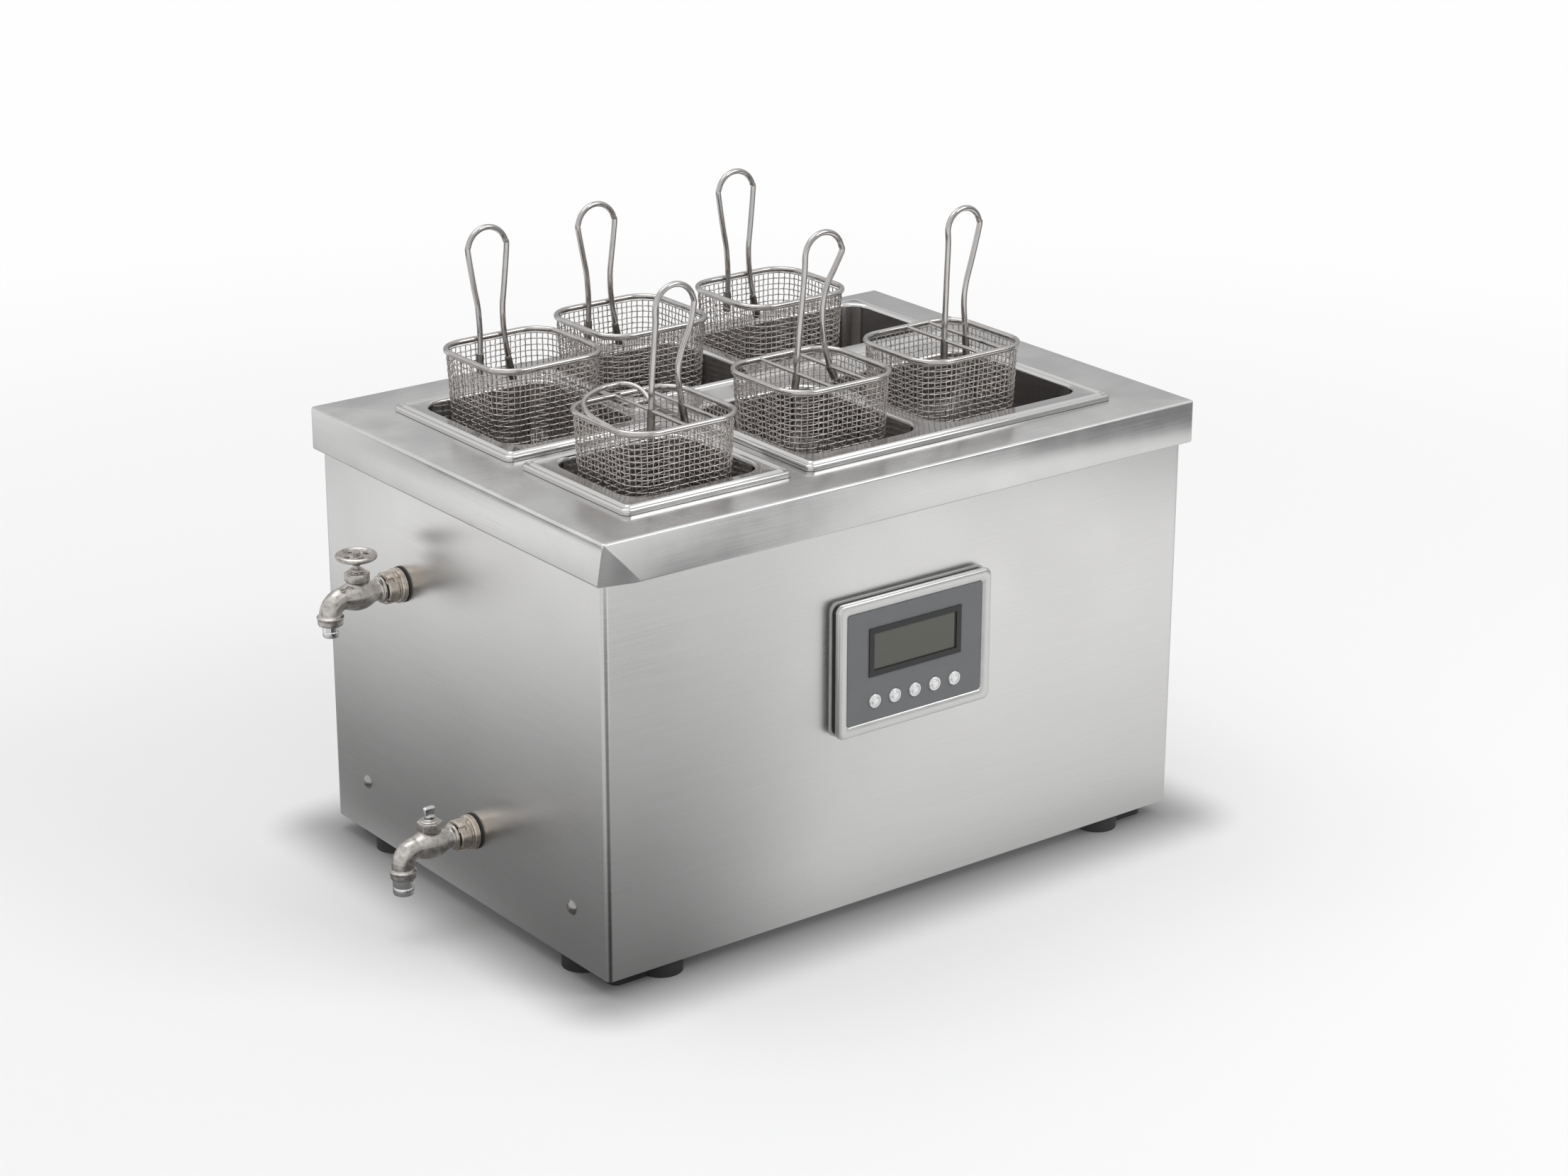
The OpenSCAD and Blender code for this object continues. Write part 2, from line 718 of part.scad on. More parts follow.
module element_nuts() {
    color("darkgoldenrod") in_frame() for (y = element_leg_ys)
        translate([tank_low[0] - element_nut_t, y, element_z]) rotate([0, 90, 0]) difference() {
            cylinder(r = element_nut_r, h = element_nut_t, $fn = 6);
            translate([0, 0, -overrun])
                cylinder(r = element_r + hole_gap, h = element_nut_t + 2 * overrun);
        }
}

module temperature_probe() {
    color("silver") in_frame() translate([tank_low[0], probe_y, element_z + probe_rise])
        rotate([0, 90, 0]) {
            translate([0, 0, -probe_tail]) cylinder(r = probe_r, h = probe_len + probe_tail);
            translate([0, 0, -probe_nut_t]) cylinder(r = probe_nut_r, h = probe_nut_t, $fn = 6);
        }
}

module draw_off_pipe() {
    inside = -wall_x - tank_low[0] - tank_t;
    color("burlywood") in_frame() at_tap(0) difference() {
        union() {
            translate([0, 0, inside]) cylinder(r = pipe_r, h = tap_start - inside);
            translate([0, 0, inside + tank_t]) cylinder(r = nipple_flange_r, h = nipple_flange_t);
        }
        translate([0, 0, inside - overrun])
            cylinder(r = water_way_r, h = tap_start - inside + 2 * overrun);
    }
}

// The drain falls from the tank's floor and turns out through the left wall
module drain_pipe() {
    bend_x = tank_low[0] + drain_in;
    color("burlywood") in_frame() difference() {
        drain_tube(pipe_r, bend_x, 0);
        drain_tube(water_way_r, bend_x, overrun);
    }
}

module drain_tube(r, bend_x, extra) {
    top = tank_floor + (extra > 0 ? tank_t + extra : tank_t);
    translate([bend_x, tap_y[1], tap_z[1] + drain_bend_r])
        cylinder(r = r, h = top - tap_z[1] - drain_bend_r);
    if (extra == 0) translate([bend_x, tap_y[1], tank_floor - drain_flange_t])
        cylinder(r = drain_flange_r, h = drain_flange_t);
    translate([bend_x - drain_bend_r, tap_y[1], tap_z[1] + drain_bend_r]) rotate([90, 0, 0])
        rotate_extrude(angle = 90, start = -90) translate([drain_bend_r, 0]) circle(r);
    translate([-wall_x - tap_start - extra, tap_y[1], tap_z[1]]) rotate([0, 90, 0])
        cylinder(r = r, h = bend_x - drain_bend_r + wall_x + tap_start + extra);
}

// The tap from its joint with the pipe to the collar, solid or as its water way
module tap_run(i, r, extra) {
    translate([0, 0, tap_start - extra])
        cylinder(r = r, h = spout_reach - elbow_r - tap_start + extra);
    translate([-elbow_r, 0, spout_reach - elbow_r]) rotate([90, 0, 0])
        rotate_extrude(angle = 90) translate([elbow_r, 0]) circle(r);
    translate([-elbow_r, 0, spout_reach]) rotate([0, -90, 0])
        cylinder(r = r, h = tap_drop[i] - nozzle_len[i] - elbow_r + extra);
}

module tap_body(i) {
    color("tan") in_frame() at_tap(i) difference() {
        union() {
            tap_run(i, barrel_r, 0);
            translate([0, 0, chamber_reach]) sphere(chamber_r);
            translate([0, 0, chamber_reach]) rotate([0, 90, 0]) cylinder(r = boss_r, h = boss_h);
            translate([0, 0, washer_t + coupling_flange_t + coupling_nut_t + fit_gap])
                cylinder(r = barrel_r + wheel_web_t / 2, h = neck_ring_t);
            translate([-tap_drop[i] + nozzle_len[i], 0, spout_reach]) rotate([0, 90, 0])
                cylinder(r = collar_r, h = collar_h);
        }
        tap_run(i, water_way_r, overrun);
        translate([0, 0, chamber_reach]) rotate([0, 90, 0])
            cylinder(r = valve_bore_r, h = boss_h + overrun);
    }
}

module tap_bonnet(i) {
    color("tan") in_frame() at_tap(i) translate([boss_h, 0, chamber_reach]) rotate([0, 90, 0])
        difference() {
            union() {
                cylinder(r = bonnet_r, h = bonnet_h, $fn = 6);
                cylinder(r = bonnet_collar_r, h = bonnet_h + bonnet_collar_h);
            }
            translate([0, 0, -overrun]) cylinder(
                r = spindle_r + spindle_clearance,
                h = bonnet_h + bonnet_collar_h + 2 * overrun
            );
        }
}

// Round flange at the wall and a slotted nut over the joint of pipe and tap
module tap_coupling(i) {
    bore_r = barrel_r + coupling_gap;
    color("rosybrown") in_frame() at_tap(i) translate([0, 0, washer_t]) difference() {
        union() {
            cylinder(r = coupling_flange_r, h = coupling_flange_t);
            translate([0, 0, coupling_flange_t]) cylinder(r = coupling_nut_r, h = coupling_nut_t);
        }
        translate([0, 0, pipe_out]) cylinder(r = bore_r, h = coupling_flange_t + coupling_nut_t);
        translate([0, 0, -overrun]) cylinder(r = pipe_r + coupling_gap, h = pipe_out + 2 * overrun);
        for (a = [0:90:270]) rotate([0, 0, a + 45])
            translate([
                coupling_nut_r - coupling_slot_depth, -coupling_slot_w / 2,
                coupling_flange_t + coupling_slot_w,
            ]) cube([coupling_slot_depth + overrun, coupling_slot_w, coupling_nut_t]);
    }
}

module tap_nozzles() {
    color("whitesmoke") in_frame() for (i = [0, 1])
        at_tap(i) translate([-tap_drop[i], 0, spout_reach]) rotate([0, 90, 0]) difference() {
            cylinder(r = nozzle_r[i], h = nozzle_len[i]);
            translate([0, 0, -overrun]) cylinder(r = water_way_r, h = nozzle_len[i] + 2 * overrun);
        }
}

module tap_washers() {
    color([0.12, 0.12, 0.12]) in_frame() for (i = [0, 1]) at_tap(i) difference() {
        cylinder(r = washer_r, h = washer_t);
        translate([0, 0, -overrun])
            cylinder(r = pipe_r + wall_hole_gap, h = washer_t + 2 * overrun);
    }
}

module upper_tap_body() { tap_body(0); }
module lower_tap_body() { tap_body(1); }
module upper_tap_bonnet() { tap_bonnet(0); }
module lower_tap_bonnet() { tap_bonnet(1); }
module upper_tap_coupling() { tap_coupling(0); }
module lower_tap_coupling() { tap_coupling(1); }

// Spindle with its valve disc below and its top end through wheel or handle
module tap_spindle(i, top) {
    color("silver") in_frame() at_tap(i) translate([0, 0, chamber_reach]) rotate([0, 90, 0]) {
        translate([0, 0, boss_h - valve_t - fit_gap]) cylinder(r = valve_r, h = valve_t);
        translate([0, 0, boss_h - valve_t]) cylinder(r = spindle_r, h = top - boss_h + valve_t);
    }
}

module upper_tap_spindle() {
    tap_spindle(0, wheel_rim_h);
    color("silver") in_frame() at_tap(0) translate([wheel_rim_h, 0, chamber_reach])
        rotate([0, 90, 0]) translate([0, 0, -weld]) cylinder(r = wheel_nut_r, h = wheel_nut_h);
}

module lower_tap_spindle() { tap_spindle(1, bonnet_top + tab_hub_h); }

// Dished wheel: a cone that opens into a web with round holes and a thick rim
module upper_tap_handwheel() {
    cone_low = wheel_rim_h - wheel_cone_h;
    web_low = wheel_rim_h - weld - wheel_web_t;
    color("darkgray") in_frame() at_tap(0) translate([0, 0, chamber_reach]) rotate([0, 90, 0])
        difference() {
            union() {
                translate([0, 0, cone_low])
                    cylinder(r1 = wheel_hub_r, r2 = wheel_cone_top_r, h = web_low - cone_low);
                translate([0, 0, web_low])
                    cylinder(r = wheel_r - wheel_rim_r, h = wheel_web_t);
                translate([0, 0, web_low + wheel_web_t / 2]) rotate_extrude()
                    translate([wheel_r - wheel_rim_r, 0]) circle(wheel_rim_r);
            }
            translate([0, 0, cone_low - overrun]) cylinder(
                r = spindle_r + wheel_bore_gap, h = wheel_cone_h + 2 * overrun
            );
            for (a = [0:360 / wheel_holes:359]) rotate([0, 0, a])
                translate([wheel_hole_at, 0, web_low + wheel_web_t / 2])
                    cylinder(r = wheel_hole_r, h = wheel_web_t);
        }
}

module lower_tap_handle() {
    color("whitesmoke") in_frame() at_tap(1) translate([bonnet_top + fit_gap, 0, chamber_reach])
        rotate([0, 90, 0]) difference() {
            union() {
                cylinder(r = tab_hub_r, h = tab_hub_h);
                translate([-tab_w / 2, -tab_t / 2, tab_hub_h - weld])
                    cube([tab_w, tab_t, tab_h - tab_hub_h]);
            }
            translate([0, 0, -overrun]) cylinder(
                r = spindle_r + wheel_bore_gap, h = tab_hub_h - fit_gap + overrun + wheel_bore_gap
            );
        }
}

module control_case() {
    color([0.1, 0.1, 0.1]) in_frame() at_panel() difference() {
        union() {
            translate([0, 0, gasket_t]) linear_extrude(case_front_t)
                rounded_middle(panel_w - 2 * case_inset, panel_h - 2 * case_inset, case_r);
            translate([0, 0, -case_depth]) linear_extrude(case_depth + case_out)
                rounded_middle(cutout_w - 2 * fit_gap, cutout_h - 2 * fit_gap, cutout_r);
        }
        translate([0, 0, -case_depth + case_wall]) linear_extrude(case_depth + case_out)
            rounded_middle(
                cutout_w - 2 * fit_gap - 2 * case_wall,
                cutout_h - 2 * fit_gap - 2 * case_wall,
                cutout_r - case_wall
            );
    }
}

module control_gasket() {
    color("lightgray") in_frame() at_panel() linear_extrude(gasket_t) difference() {
        rounded_middle(panel_w, panel_h, case_r);
        rounded_middle(cutout_w, cutout_h, cutout_r);
    }
}

module control_bezel() {
    color("silver") in_frame() at_panel() translate([0, 0, case_out])
        linear_extrude(bezel_t) difference() {
            rounded_middle(panel_w, panel_h, case_r);
            rounded_middle(face_w + 2 * face_gap, face_h + 2 * face_gap, face_r);
        }
}

// Places its children at button i's centre, on the face plate's level
module at_button(i) {
    at_panel() translate([(i - (button_count - 1) / 2) * button_pitch, button_row_z, 0]) children();
}

module face_plate() {
    color("dimgray") in_frame() difference() {
        at_panel() translate([0, 0, face_top - face_t]) linear_extrude(face_t) difference() {
            rounded_middle(face_w, face_h, face_r);
            translate([0, display_z])
                square([display_w + 2 * fit_gap, display_h + 2 * fit_gap], center = true);
        }
        for (i = [0:button_count - 1]) at_button(i)
            translate([0, 0, face_top - face_t - overrun])
                cylinder(r = button_r + button_gap, h = face_t + 2 * overrun);
    }
}

module display_frame() {
    color([0.05, 0.05, 0.05]) in_frame() at_panel()
        translate([0, display_z, face_top]) linear_extrude(display_frame_out) difference() {
            square([display_w + 2 * display_frame_w, display_h + 2 * display_frame_w], center = true);
            square([display_w, display_h], center = true);
        }
}

module display_window() {
    color([0.42, 0.42, 0.34]) in_frame() at_panel()
        translate([0, display_z, face_top - window_sink - window_t]) linear_extrude(window_t)
            square([display_w, display_h], center = true);
}

// Board with a switch behind each button, on four posts from the case's floor
module control_board() {
    post_x = face_w / 2 - cutout_r - 2 * boss_post_r;
    post_y = face_h / 2 - cutout_r - 2 * boss_post_r;
    case_floor = -case_depth + case_wall;
    color("seagreen") in_frame() {
        at_panel() {
            translate([0, 0, board_back - board_t]) linear_extrude(board_t)
                rounded_middle(face_w - 4 * case_wall, face_h - 4 * case_wall, boss_post_r);
            for (x = [-post_x, post_x], y = [-post_y, post_y])
                translate([x, y, case_floor])
                    cylinder(r = boss_post_r, h = board_back - board_t - case_floor + weld);
            translate([0, display_z, board_back - weld])
                linear_extrude(face_top - window_sink - window_t - fit_gap - board_back + weld)
                    square([display_w, display_h], center = true);
        }
        for (i = [0:button_count - 1]) at_button(i)
            translate([0, 0, board_back - weld]) linear_extrude(switch_h + weld)
                square([switch_w, switch_w], center = true);
    }
}

module button(i) {
    color("whitesmoke") in_frame() at_button(i) {
        translate([0, 0, face_top - face_t - button_flange_t - fit_gap / 2])
            cylinder(r = button_flange_r, h = button_flange_t);
        translate([0, 0, face_top - face_t - button_flange_t])
            cylinder(r = button_r, h = face_t + button_flange_t + button_out);
        translate([0, 0, board_back + switch_h + button_travel + fit_gap])
            cylinder(
                r = button_stem_r,
                h = face_top - face_t - button_flange_t - board_back - switch_h
                    - button_travel - fit_gap + weld
            );
    }
}

module button_1() { button(0); }
module button_2() { button(1); }
module button_3() { button(2); }
module button_4() { button(3); }
module button_5() { button(4); }

// Cable inlet in the rear panel: a gland with a nut on either side of the sheet
module cable_gland() {
    color([0.1, 0.1, 0.1]) in_frame() translate([gland_x, inner_y, foot_h + gland_z])
        rotate([-90, 0, 0]) difference() {
            union() {
                translate([0, 0, -gland_inner - sheet])
                    cylinder(r = gland_hole_r - hole_gap, h = gland_inner + sheet + overrun);
                translate([0, 0, -sheet - gland_nut_t])
                    cylinder(r = gland_nut_r, h = gland_nut_t, $fn = 6);
                cylinder(r = gland_nut_r, h = gland_nut_t, $fn = 6);
                translate([0, 0, gland_nut_t - weld])
                    cylinder(r1 = gland_nut_r * cos(30), r2 = gland_dome_r, h = gland_out + sheet
                        - gland_nut_t + weld);
            }
            translate([0, 0, -gland_inner - sheet - overrun])
                cylinder(r = gland_bore_r, h = gland_inner + 2 * sheet + gland_out + 2 * overrun);
        }
}

module on_tray(at) {
    translate([at[0], at[1], foot_h + tray_t]) children();
}

module terminal_block() {
    color("ivory") in_frame() on_tray(terminal_at) difference() {
        translate([-terminal_size[0] / 2, -terminal_size[1] / 2, 0]) cube(terminal_size);
        for (i = [0:terminal_slots - 1])
            translate([
                (i + 1 / 2) * terminal_size[0] / terminal_slots - terminal_size[0] / 2
                    - terminal_slot_w / 2,
                -terminal_size[1] / 2 - overrun,
                terminal_size[2] - terminal_slot_depth,
            ]) cube([terminal_slot_w, terminal_size[1] / 3 + overrun, terminal_slot_depth + overrun]);
    }
}

module power_relay() {
    color("dimgray") in_frame() on_tray(relay_at) {
        translate([
            -relay_size[0] / 2 - relay_plate_lip, -relay_size[1] / 2 - relay_plate_lip, 0,
        ]) cube([
            relay_size[0] + 2 * relay_plate_lip, relay_size[1] + 2 * relay_plate_lip, relay_plate_t,
        ]);
        translate([-relay_size[0] / 2, -relay_size[1] / 2, relay_plate_t - weld]) cube(relay_size);
    }
}

module safety_thermostat() {
    color("beige") in_frame() on_tray(thermostat_at) {
        translate([-thermostat_size[0] / 2, -thermostat_size[1] / 2, 0]) cube(thermostat_size);
        translate([0, 0, thermostat_size[2] - weld])
            cylinder(r = thermostat_knob_r, h = thermostat_knob_h + weld);
    }
}

// A drop-in pan: a hollow rim with a ridge, and a deep well for each opening
module pan(at, w, d, wells) {
    color("gainsboro") in_frame() on_deck(at) {
        translate([0, 0, deck_top]) difference() {
            linear_extrude(rim_h) rounded(w, d, pan_corner_r);
            translate([pan_t, pan_t, -overrun]) linear_extrude(rim_h - pan_t + overrun)
                rounded(w - 2 * pan_t, d - 2 * pan_t, pan_corner_r - pan_t);
            for (well = wells) translate([well[0], well[1], 0])
                linear_extrude(rim_h + overrun) rounded(well[2], well[3], well_r);
        }
        translate([0, 0, deck_top + rim_h - weld]) linear_extrude(ridge_h + weld) difference() {
            translate([ridge_inset - ridge_w / 2, ridge_inset - ridge_w / 2])
                rounded(w - 2 * ridge_inset + ridge_w, d - 2 * ridge_inset + ridge_w, ridge_w);
            translate([ridge_inset + ridge_w / 2, ridge_inset + ridge_w / 2])
                rounded(w - 2 * ridge_inset - ridge_w, d - 2 * ridge_inset - ridge_w, ridge_w / 2);
        }
        for (well = wells) translate([well[0], well[1], 0]) difference() {
            translate([-pan_t, -pan_t, well_floor - pan_t])
                linear_extrude(well_depth + pan_t)
                    rounded(well[2] + 2 * pan_t, well[3] + 2 * pan_t, well_r + pan_t);
            translate([0, 0, well_floor]) linear_extrude(well_depth + overrun)
                rounded(well[2], well[3], well_r);
            water_holes(well);
        }
    }
}

module water_holes(well) {
    nx = floor((well[2] - 2 * well_r) / water_hole_pitch + count_slack);
    ny = floor((well[3] - 2 * well_r) / water_hole_pitch + count_slack);
    for (ix = [0:nx], iy = [0:ny])
        translate([
            well[2] / 2 + (ix - nx / 2) * water_hole_pitch,
            well[3] / 2 + (iy - ny / 2) * water_hole_pitch,
            well_floor - pan_t - overrun,
        ]) cylinder(r = water_hole_r, h = pan_t + 2 * overrun);
}

module front_left_pan() { pan(front_pan_at, front_pan_w, front_pan_d, front_wells); }
module rear_left_pan() { pan(rear_pan_at, rear_pan_w, rear_pan_d, rear_wells); }
module main_pan() { pan(main_pan_at, main_pan_w, main_pan_d, main_wells); }
module back_pan() { pan(back_pan_at, back_pan_w, back_pan_d, back_wells); }

// A layer of a basket's body: four wedged sides that meet at four cones,
// drawn in by low_in at its lower edge and by high_in at its upper one
module mesh_layer(low, high, low_in, high_in) {
    low_r = mesh_corner_r - low_in;
    high_r = mesh_corner_r - high_in;
    module wedge(to_corner, length) {
        rotate([90, 0, 0]) translate([0, 0, -length / 2]) linear_extrude(length) polygon([
            [-to_corner - low_r, low], [to_corner + low_r, low],
            [to_corner + high_r, high], [-to_corner - high_r, high],
        ]);
    }
    wedge(mesh_flat_w / 2, mesh_flat_d);
    rotate([0, 0, 90]) wedge(mesh_flat_d / 2, mesh_flat_w);
    for (x = [-1, 1], y = [-1, 1])
        translate([x * mesh_flat_w / 2, y * mesh_flat_d / 2, low])
            cylinder(r1 = low_r, r2 = high_r, h = high - low);
}

module mesh_form(inset, low, high) {
    foot_in = mesh_taper + inset;
    mesh_layer(low + mesh_foot_h, high, foot_in, inset);
    mesh_layer(low, low + mesh_foot_h, foot_in + mesh_foot_h * mesh_foot_share, foot_in);
}

// A closed wall in the place of the woven one
module basket_mesh(i) {
    at = basket_at(i);
    color("darkgray") in_frame() translate([at[0], at[1], 0]) difference() {
        mesh_form(0, basket_base, mesh_top);
        mesh_form(mesh_t, basket_base + mesh_t, mesh_top + overrun);
    }
}

// Rim wire as four straight lengths and four bends
module rim_wire() {
    w = basket_w - wire_d;
    d = basket_d - wire_d;
    r = basket_corner_r - wire_d / 2;
    for (side = [-1, 1]) {
        translate([-w / 2 + r, side * d / 2, 0]) rotate([0, 90, 0])
            cylinder(d = wire_d, h = w - 2 * r);
        translate([side * w / 2, d / 2 - r, 0]) rotate([90, 0, 0])
            cylinder(d = wire_d, h = d - 2 * r);
    }
    for (corner = [0:3]) {
        sx = corner == 0 || corner == 3 ? 1 : -1;
        sy = corner < 2 ? 1 : -1;
        translate([sx * (w / 2 - r), sy * (d / 2 - r), 0])
            rotate_extrude(angle = 90, start = corner * 90) translate([r, 0]) circle(d = wire_d);
    }
}

// Wire handle in the XZ plane, its rim level at Z = 0: a round top on two
// legs that draw together, with the left leg shorter than the right one
module handle_wire(rise, ends) {
    loop_r = handle_w / 2 - wire_d / 2;
    loop_z = rise - handle_w / 2;
    leg_x = handle_leg_gap / 2;
    arc_x = loop_r * cos(handle_lean);
    arc_z = loop_z - loop_r * sin(handle_lean);
    neck_z = arc_z - (arc_x - leg_x) / tan(handle_lean);
    translate([0, 0, loop_z]) rotate([90, 0, 0])
        rotate_extrude(angle = 180 + 2 * handle_lean, start = -handle_lean)
            translate([loop_r, 0]) circle(d = wire_d);
    for (side = [0, 1]) {
        x = (2 * side - 1) * leg_x;
        translate([x, 0, neck_z]) rotate([0, (2 * side - 1) * handle_lean, 0])
            translate([0, 0, -weld])
                cylinder(d = wire_d, h = (arc_z - neck_z) / cos(handle_lean) + 2 * weld);
        translate([x, 0, neck_z]) sphere(d = knuckle_d);
        translate([(2 * side - 1) * arc_x, 0, arc_z]) sphere(d = knuckle_d);
        translate([x, 0, -ends[side]]) cylinder(d = wire_d, h = neck_z + ends[side] + weld);
    }
}

// Back-row handles stand on the back wall and front-row ones on two cross wires
module basket_frame(i) {
    at = basket_at(i);
    span = basket_d - wire_d;
    color("lightgray") in_frame() translate([at[0], at[1], rim_axis_z]) {
        rim_wire();
        if (is_front[i]) {
            translate([front_handle_shift, 0, 0]) {
                handle_wire(front_handle_rise - handle_drops[i], front_leg_ends);
                for (side = [-1, 1])
                    translate([side * handle_leg_gap / 2, span / 2, 0]) rotate([90, 0, 0])
                        cylinder(d = cross_wire_d, h = span);
            }
        } else {
            translate([0, handle_leg_y, 0]) rotate([-mesh_slope, 0, 0])
                handle_wire(rear_handle_rise, [short_leg, long_leg]);
        }
    }
}

module basket_1_mesh() { basket_mesh(0); }
module basket_2_mesh() { basket_mesh(1); }
module basket_3_mesh() { basket_mesh(2); }
module basket_4_mesh() { basket_mesh(3); }
module basket_5_mesh() { basket_mesh(4); }
module basket_6_mesh() { basket_mesh(5); }
module basket_1_frame() { basket_frame(0); }
module basket_2_frame() { basket_frame(1); }
module basket_3_frame() { basket_frame(2); }
module basket_4_frame() { basket_frame(3); }
module basket_5_frame() { basket_frame(4); }
module basket_6_frame() { basket_frame(5); }

deck_cover();
wrap_panel();
rear_panel();
base_tray();
water_tank();
element_front();
element_rear();
element_nuts();
temperature_probe();
safety_thermostat();
draw_off_pipe();
drain_pipe();
upper_tap_body();
upper_tap_bonnet();
upper_tap_coupling();
upper_tap_spindle();
upper_tap_handwheel();
lower_tap_body();
lower_tap_bonnet();
lower_tap_coupling();
lower_tap_spindle();
lower_tap_handle();
tap_nozzles();
tap_washers();
control_case();
control_gasket();
control_bezel();
face_plate();
display_frame();
display_window();
control_board();
button_1();
button_2();
button_3();
button_4();
button_5();
cable_gland();
terminal_block();
power_relay();
panel_screws();
foot_front_left();
foot_front_right();
foot_rear_left();
foot_rear_right();
front_left_pan();
rear_left_pan();
main_pan();
back_pan();
basket_1_mesh();
basket_1_frame();
basket_2_mesh();
basket_2_frame();
basket_3_mesh();
basket_3_frame();
basket_4_mesh();
basket_4_frame();
basket_5_mesh();
basket_5_frame();
basket_6_mesh();
basket_6_frame();
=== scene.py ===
"""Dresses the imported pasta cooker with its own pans, baskets, taps, panel and finishes."""

import math

import bmesh
import bpy
from mathutils import Matrix, Vector


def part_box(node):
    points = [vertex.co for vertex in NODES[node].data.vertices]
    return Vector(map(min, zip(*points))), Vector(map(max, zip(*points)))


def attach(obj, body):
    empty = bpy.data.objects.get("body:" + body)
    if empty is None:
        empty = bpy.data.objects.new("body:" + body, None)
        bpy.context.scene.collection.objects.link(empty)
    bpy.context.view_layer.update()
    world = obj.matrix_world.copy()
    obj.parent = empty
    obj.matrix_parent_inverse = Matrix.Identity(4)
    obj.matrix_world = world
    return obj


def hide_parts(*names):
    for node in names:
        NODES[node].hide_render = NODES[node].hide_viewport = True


bl_info = {
    "name": "Pasta cooker",
    "version": (1, 0, 0),
    "blender": (4, 5, 0),
    "location": "3D View > Sidebar > Pasta cooker",
    "description": "Builds the pasta cooker's pans, baskets, taps, panel, finishes and stage",
    "category": "Object",
}

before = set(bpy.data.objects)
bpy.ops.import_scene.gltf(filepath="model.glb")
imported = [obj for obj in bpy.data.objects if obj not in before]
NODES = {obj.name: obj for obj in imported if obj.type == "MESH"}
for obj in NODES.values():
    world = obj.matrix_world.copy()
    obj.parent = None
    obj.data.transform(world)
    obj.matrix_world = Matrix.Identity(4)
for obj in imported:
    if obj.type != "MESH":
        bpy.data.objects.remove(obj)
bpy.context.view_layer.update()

DECK_LOW, DECK_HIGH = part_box("deck_cover")
DECK_TOP = DECK_HIGH.z
WALL_LOW, WALL_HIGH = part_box("wrap_panel")

# Wells of each pan: corner and size from the pan's own corner, in metres
PAN_WELLS = {
    "front_left_pan": [(0.022, 0.020, 0.130, 0.120)],
    "rear_left_pan": [(0.019, 0.021, 0.128, 0.147)],
    "main_pan": [(0.016, 0.025, 0.124, 0.161), (0.158, 0.025, 0.160, 0.161)],
    "back_pan": [(0.008, 0.008, 0.136, 0.127), (0.159, 0.024, 0.195, 0.111)],
}
# Each basket's handle in millimetres from the middle of its rim: the left leg from its foot
# up, the right leg from its foot up, then the loop's middle, its radius and its top
BACK_HANDLE = (
    ((-14.5, -30), (-13, -15), (-12.2, -1), (-12, 14), (-13, 31), (-15.6, 47)),
    ((19, -41), (15.5, -22), (12.8, -1), (12, 12), (12.4, 27), (14.8, 43)),
)
HANDLES = {
    1: (*BACK_HANDLE, 0, 19.5, 99),
    2: (*BACK_HANDLE, 0, 19.5, 93),
    3: (*BACK_HANDLE, 0, 19.5, 100),
    4: (((3, -22), (3.2, -1), (3.6, 20), (4.8, 60), (5.6, 84)),
        ((28.5, -22), (27, -1), (24.5, 28), (26, 46), (33, 70)), 22.5, 17.5, 116),
    5: (((-3.6, -24), (-2.6, -1), (-1.6, 22), (1.2, 54), (2.4, 72)),
        ((32, -23), (28, -1), (24.2, 28), (28.5, 46), (36.5, 64)), 21.5, 19.2, 104),
    6: (((-17, -13), (-15, -1), (-13.6, 24), (-9.6, 60), (-7, 88)),
        ((25, -11), (20, -1), (13.5, 22), (11.6, 46), (15, 68), (24, 84)), 12.5, 19.2, 119),
}
FRONT_BASKETS = (4, 5, 6)
# A bent wire over the rim of basket 5, in millimetres from the middle of its rim
BENT_WIRE = ((-55, -22, 0.5), (-54, 12, 3), (-42, 38, 6), (-20, 49, 9), (2, 48, 10), (9, 36, 9),
             (8, 20, 5), (3, 6, -2), (-3, 0, -12))
# Distance from the wall to a tap's spindle and to its spout's down leg, in metres
TAP_AXIS, TAP_REACH = 0.043, 0.070
# Each tap: its middle on the wall, its spout's drop, and its nozzle's length and radius
TAPS = {
    "upper": (Vector((WALL_LOW.x, 0.08275, 0.268)), 0.031, 0.0105, 0.007),
    "lower": (Vector((WALL_LOW.x, -0.01945, 0.0775)), 0.038, 0.014, 0.009),
}
# Level direction to the right of the view, along which lie the painted dark bands that metal
# mirrors from the floor
VIEW_RIGHT = (0.795, -0.607, 0)


# ---------------------------------------------------------------- settings


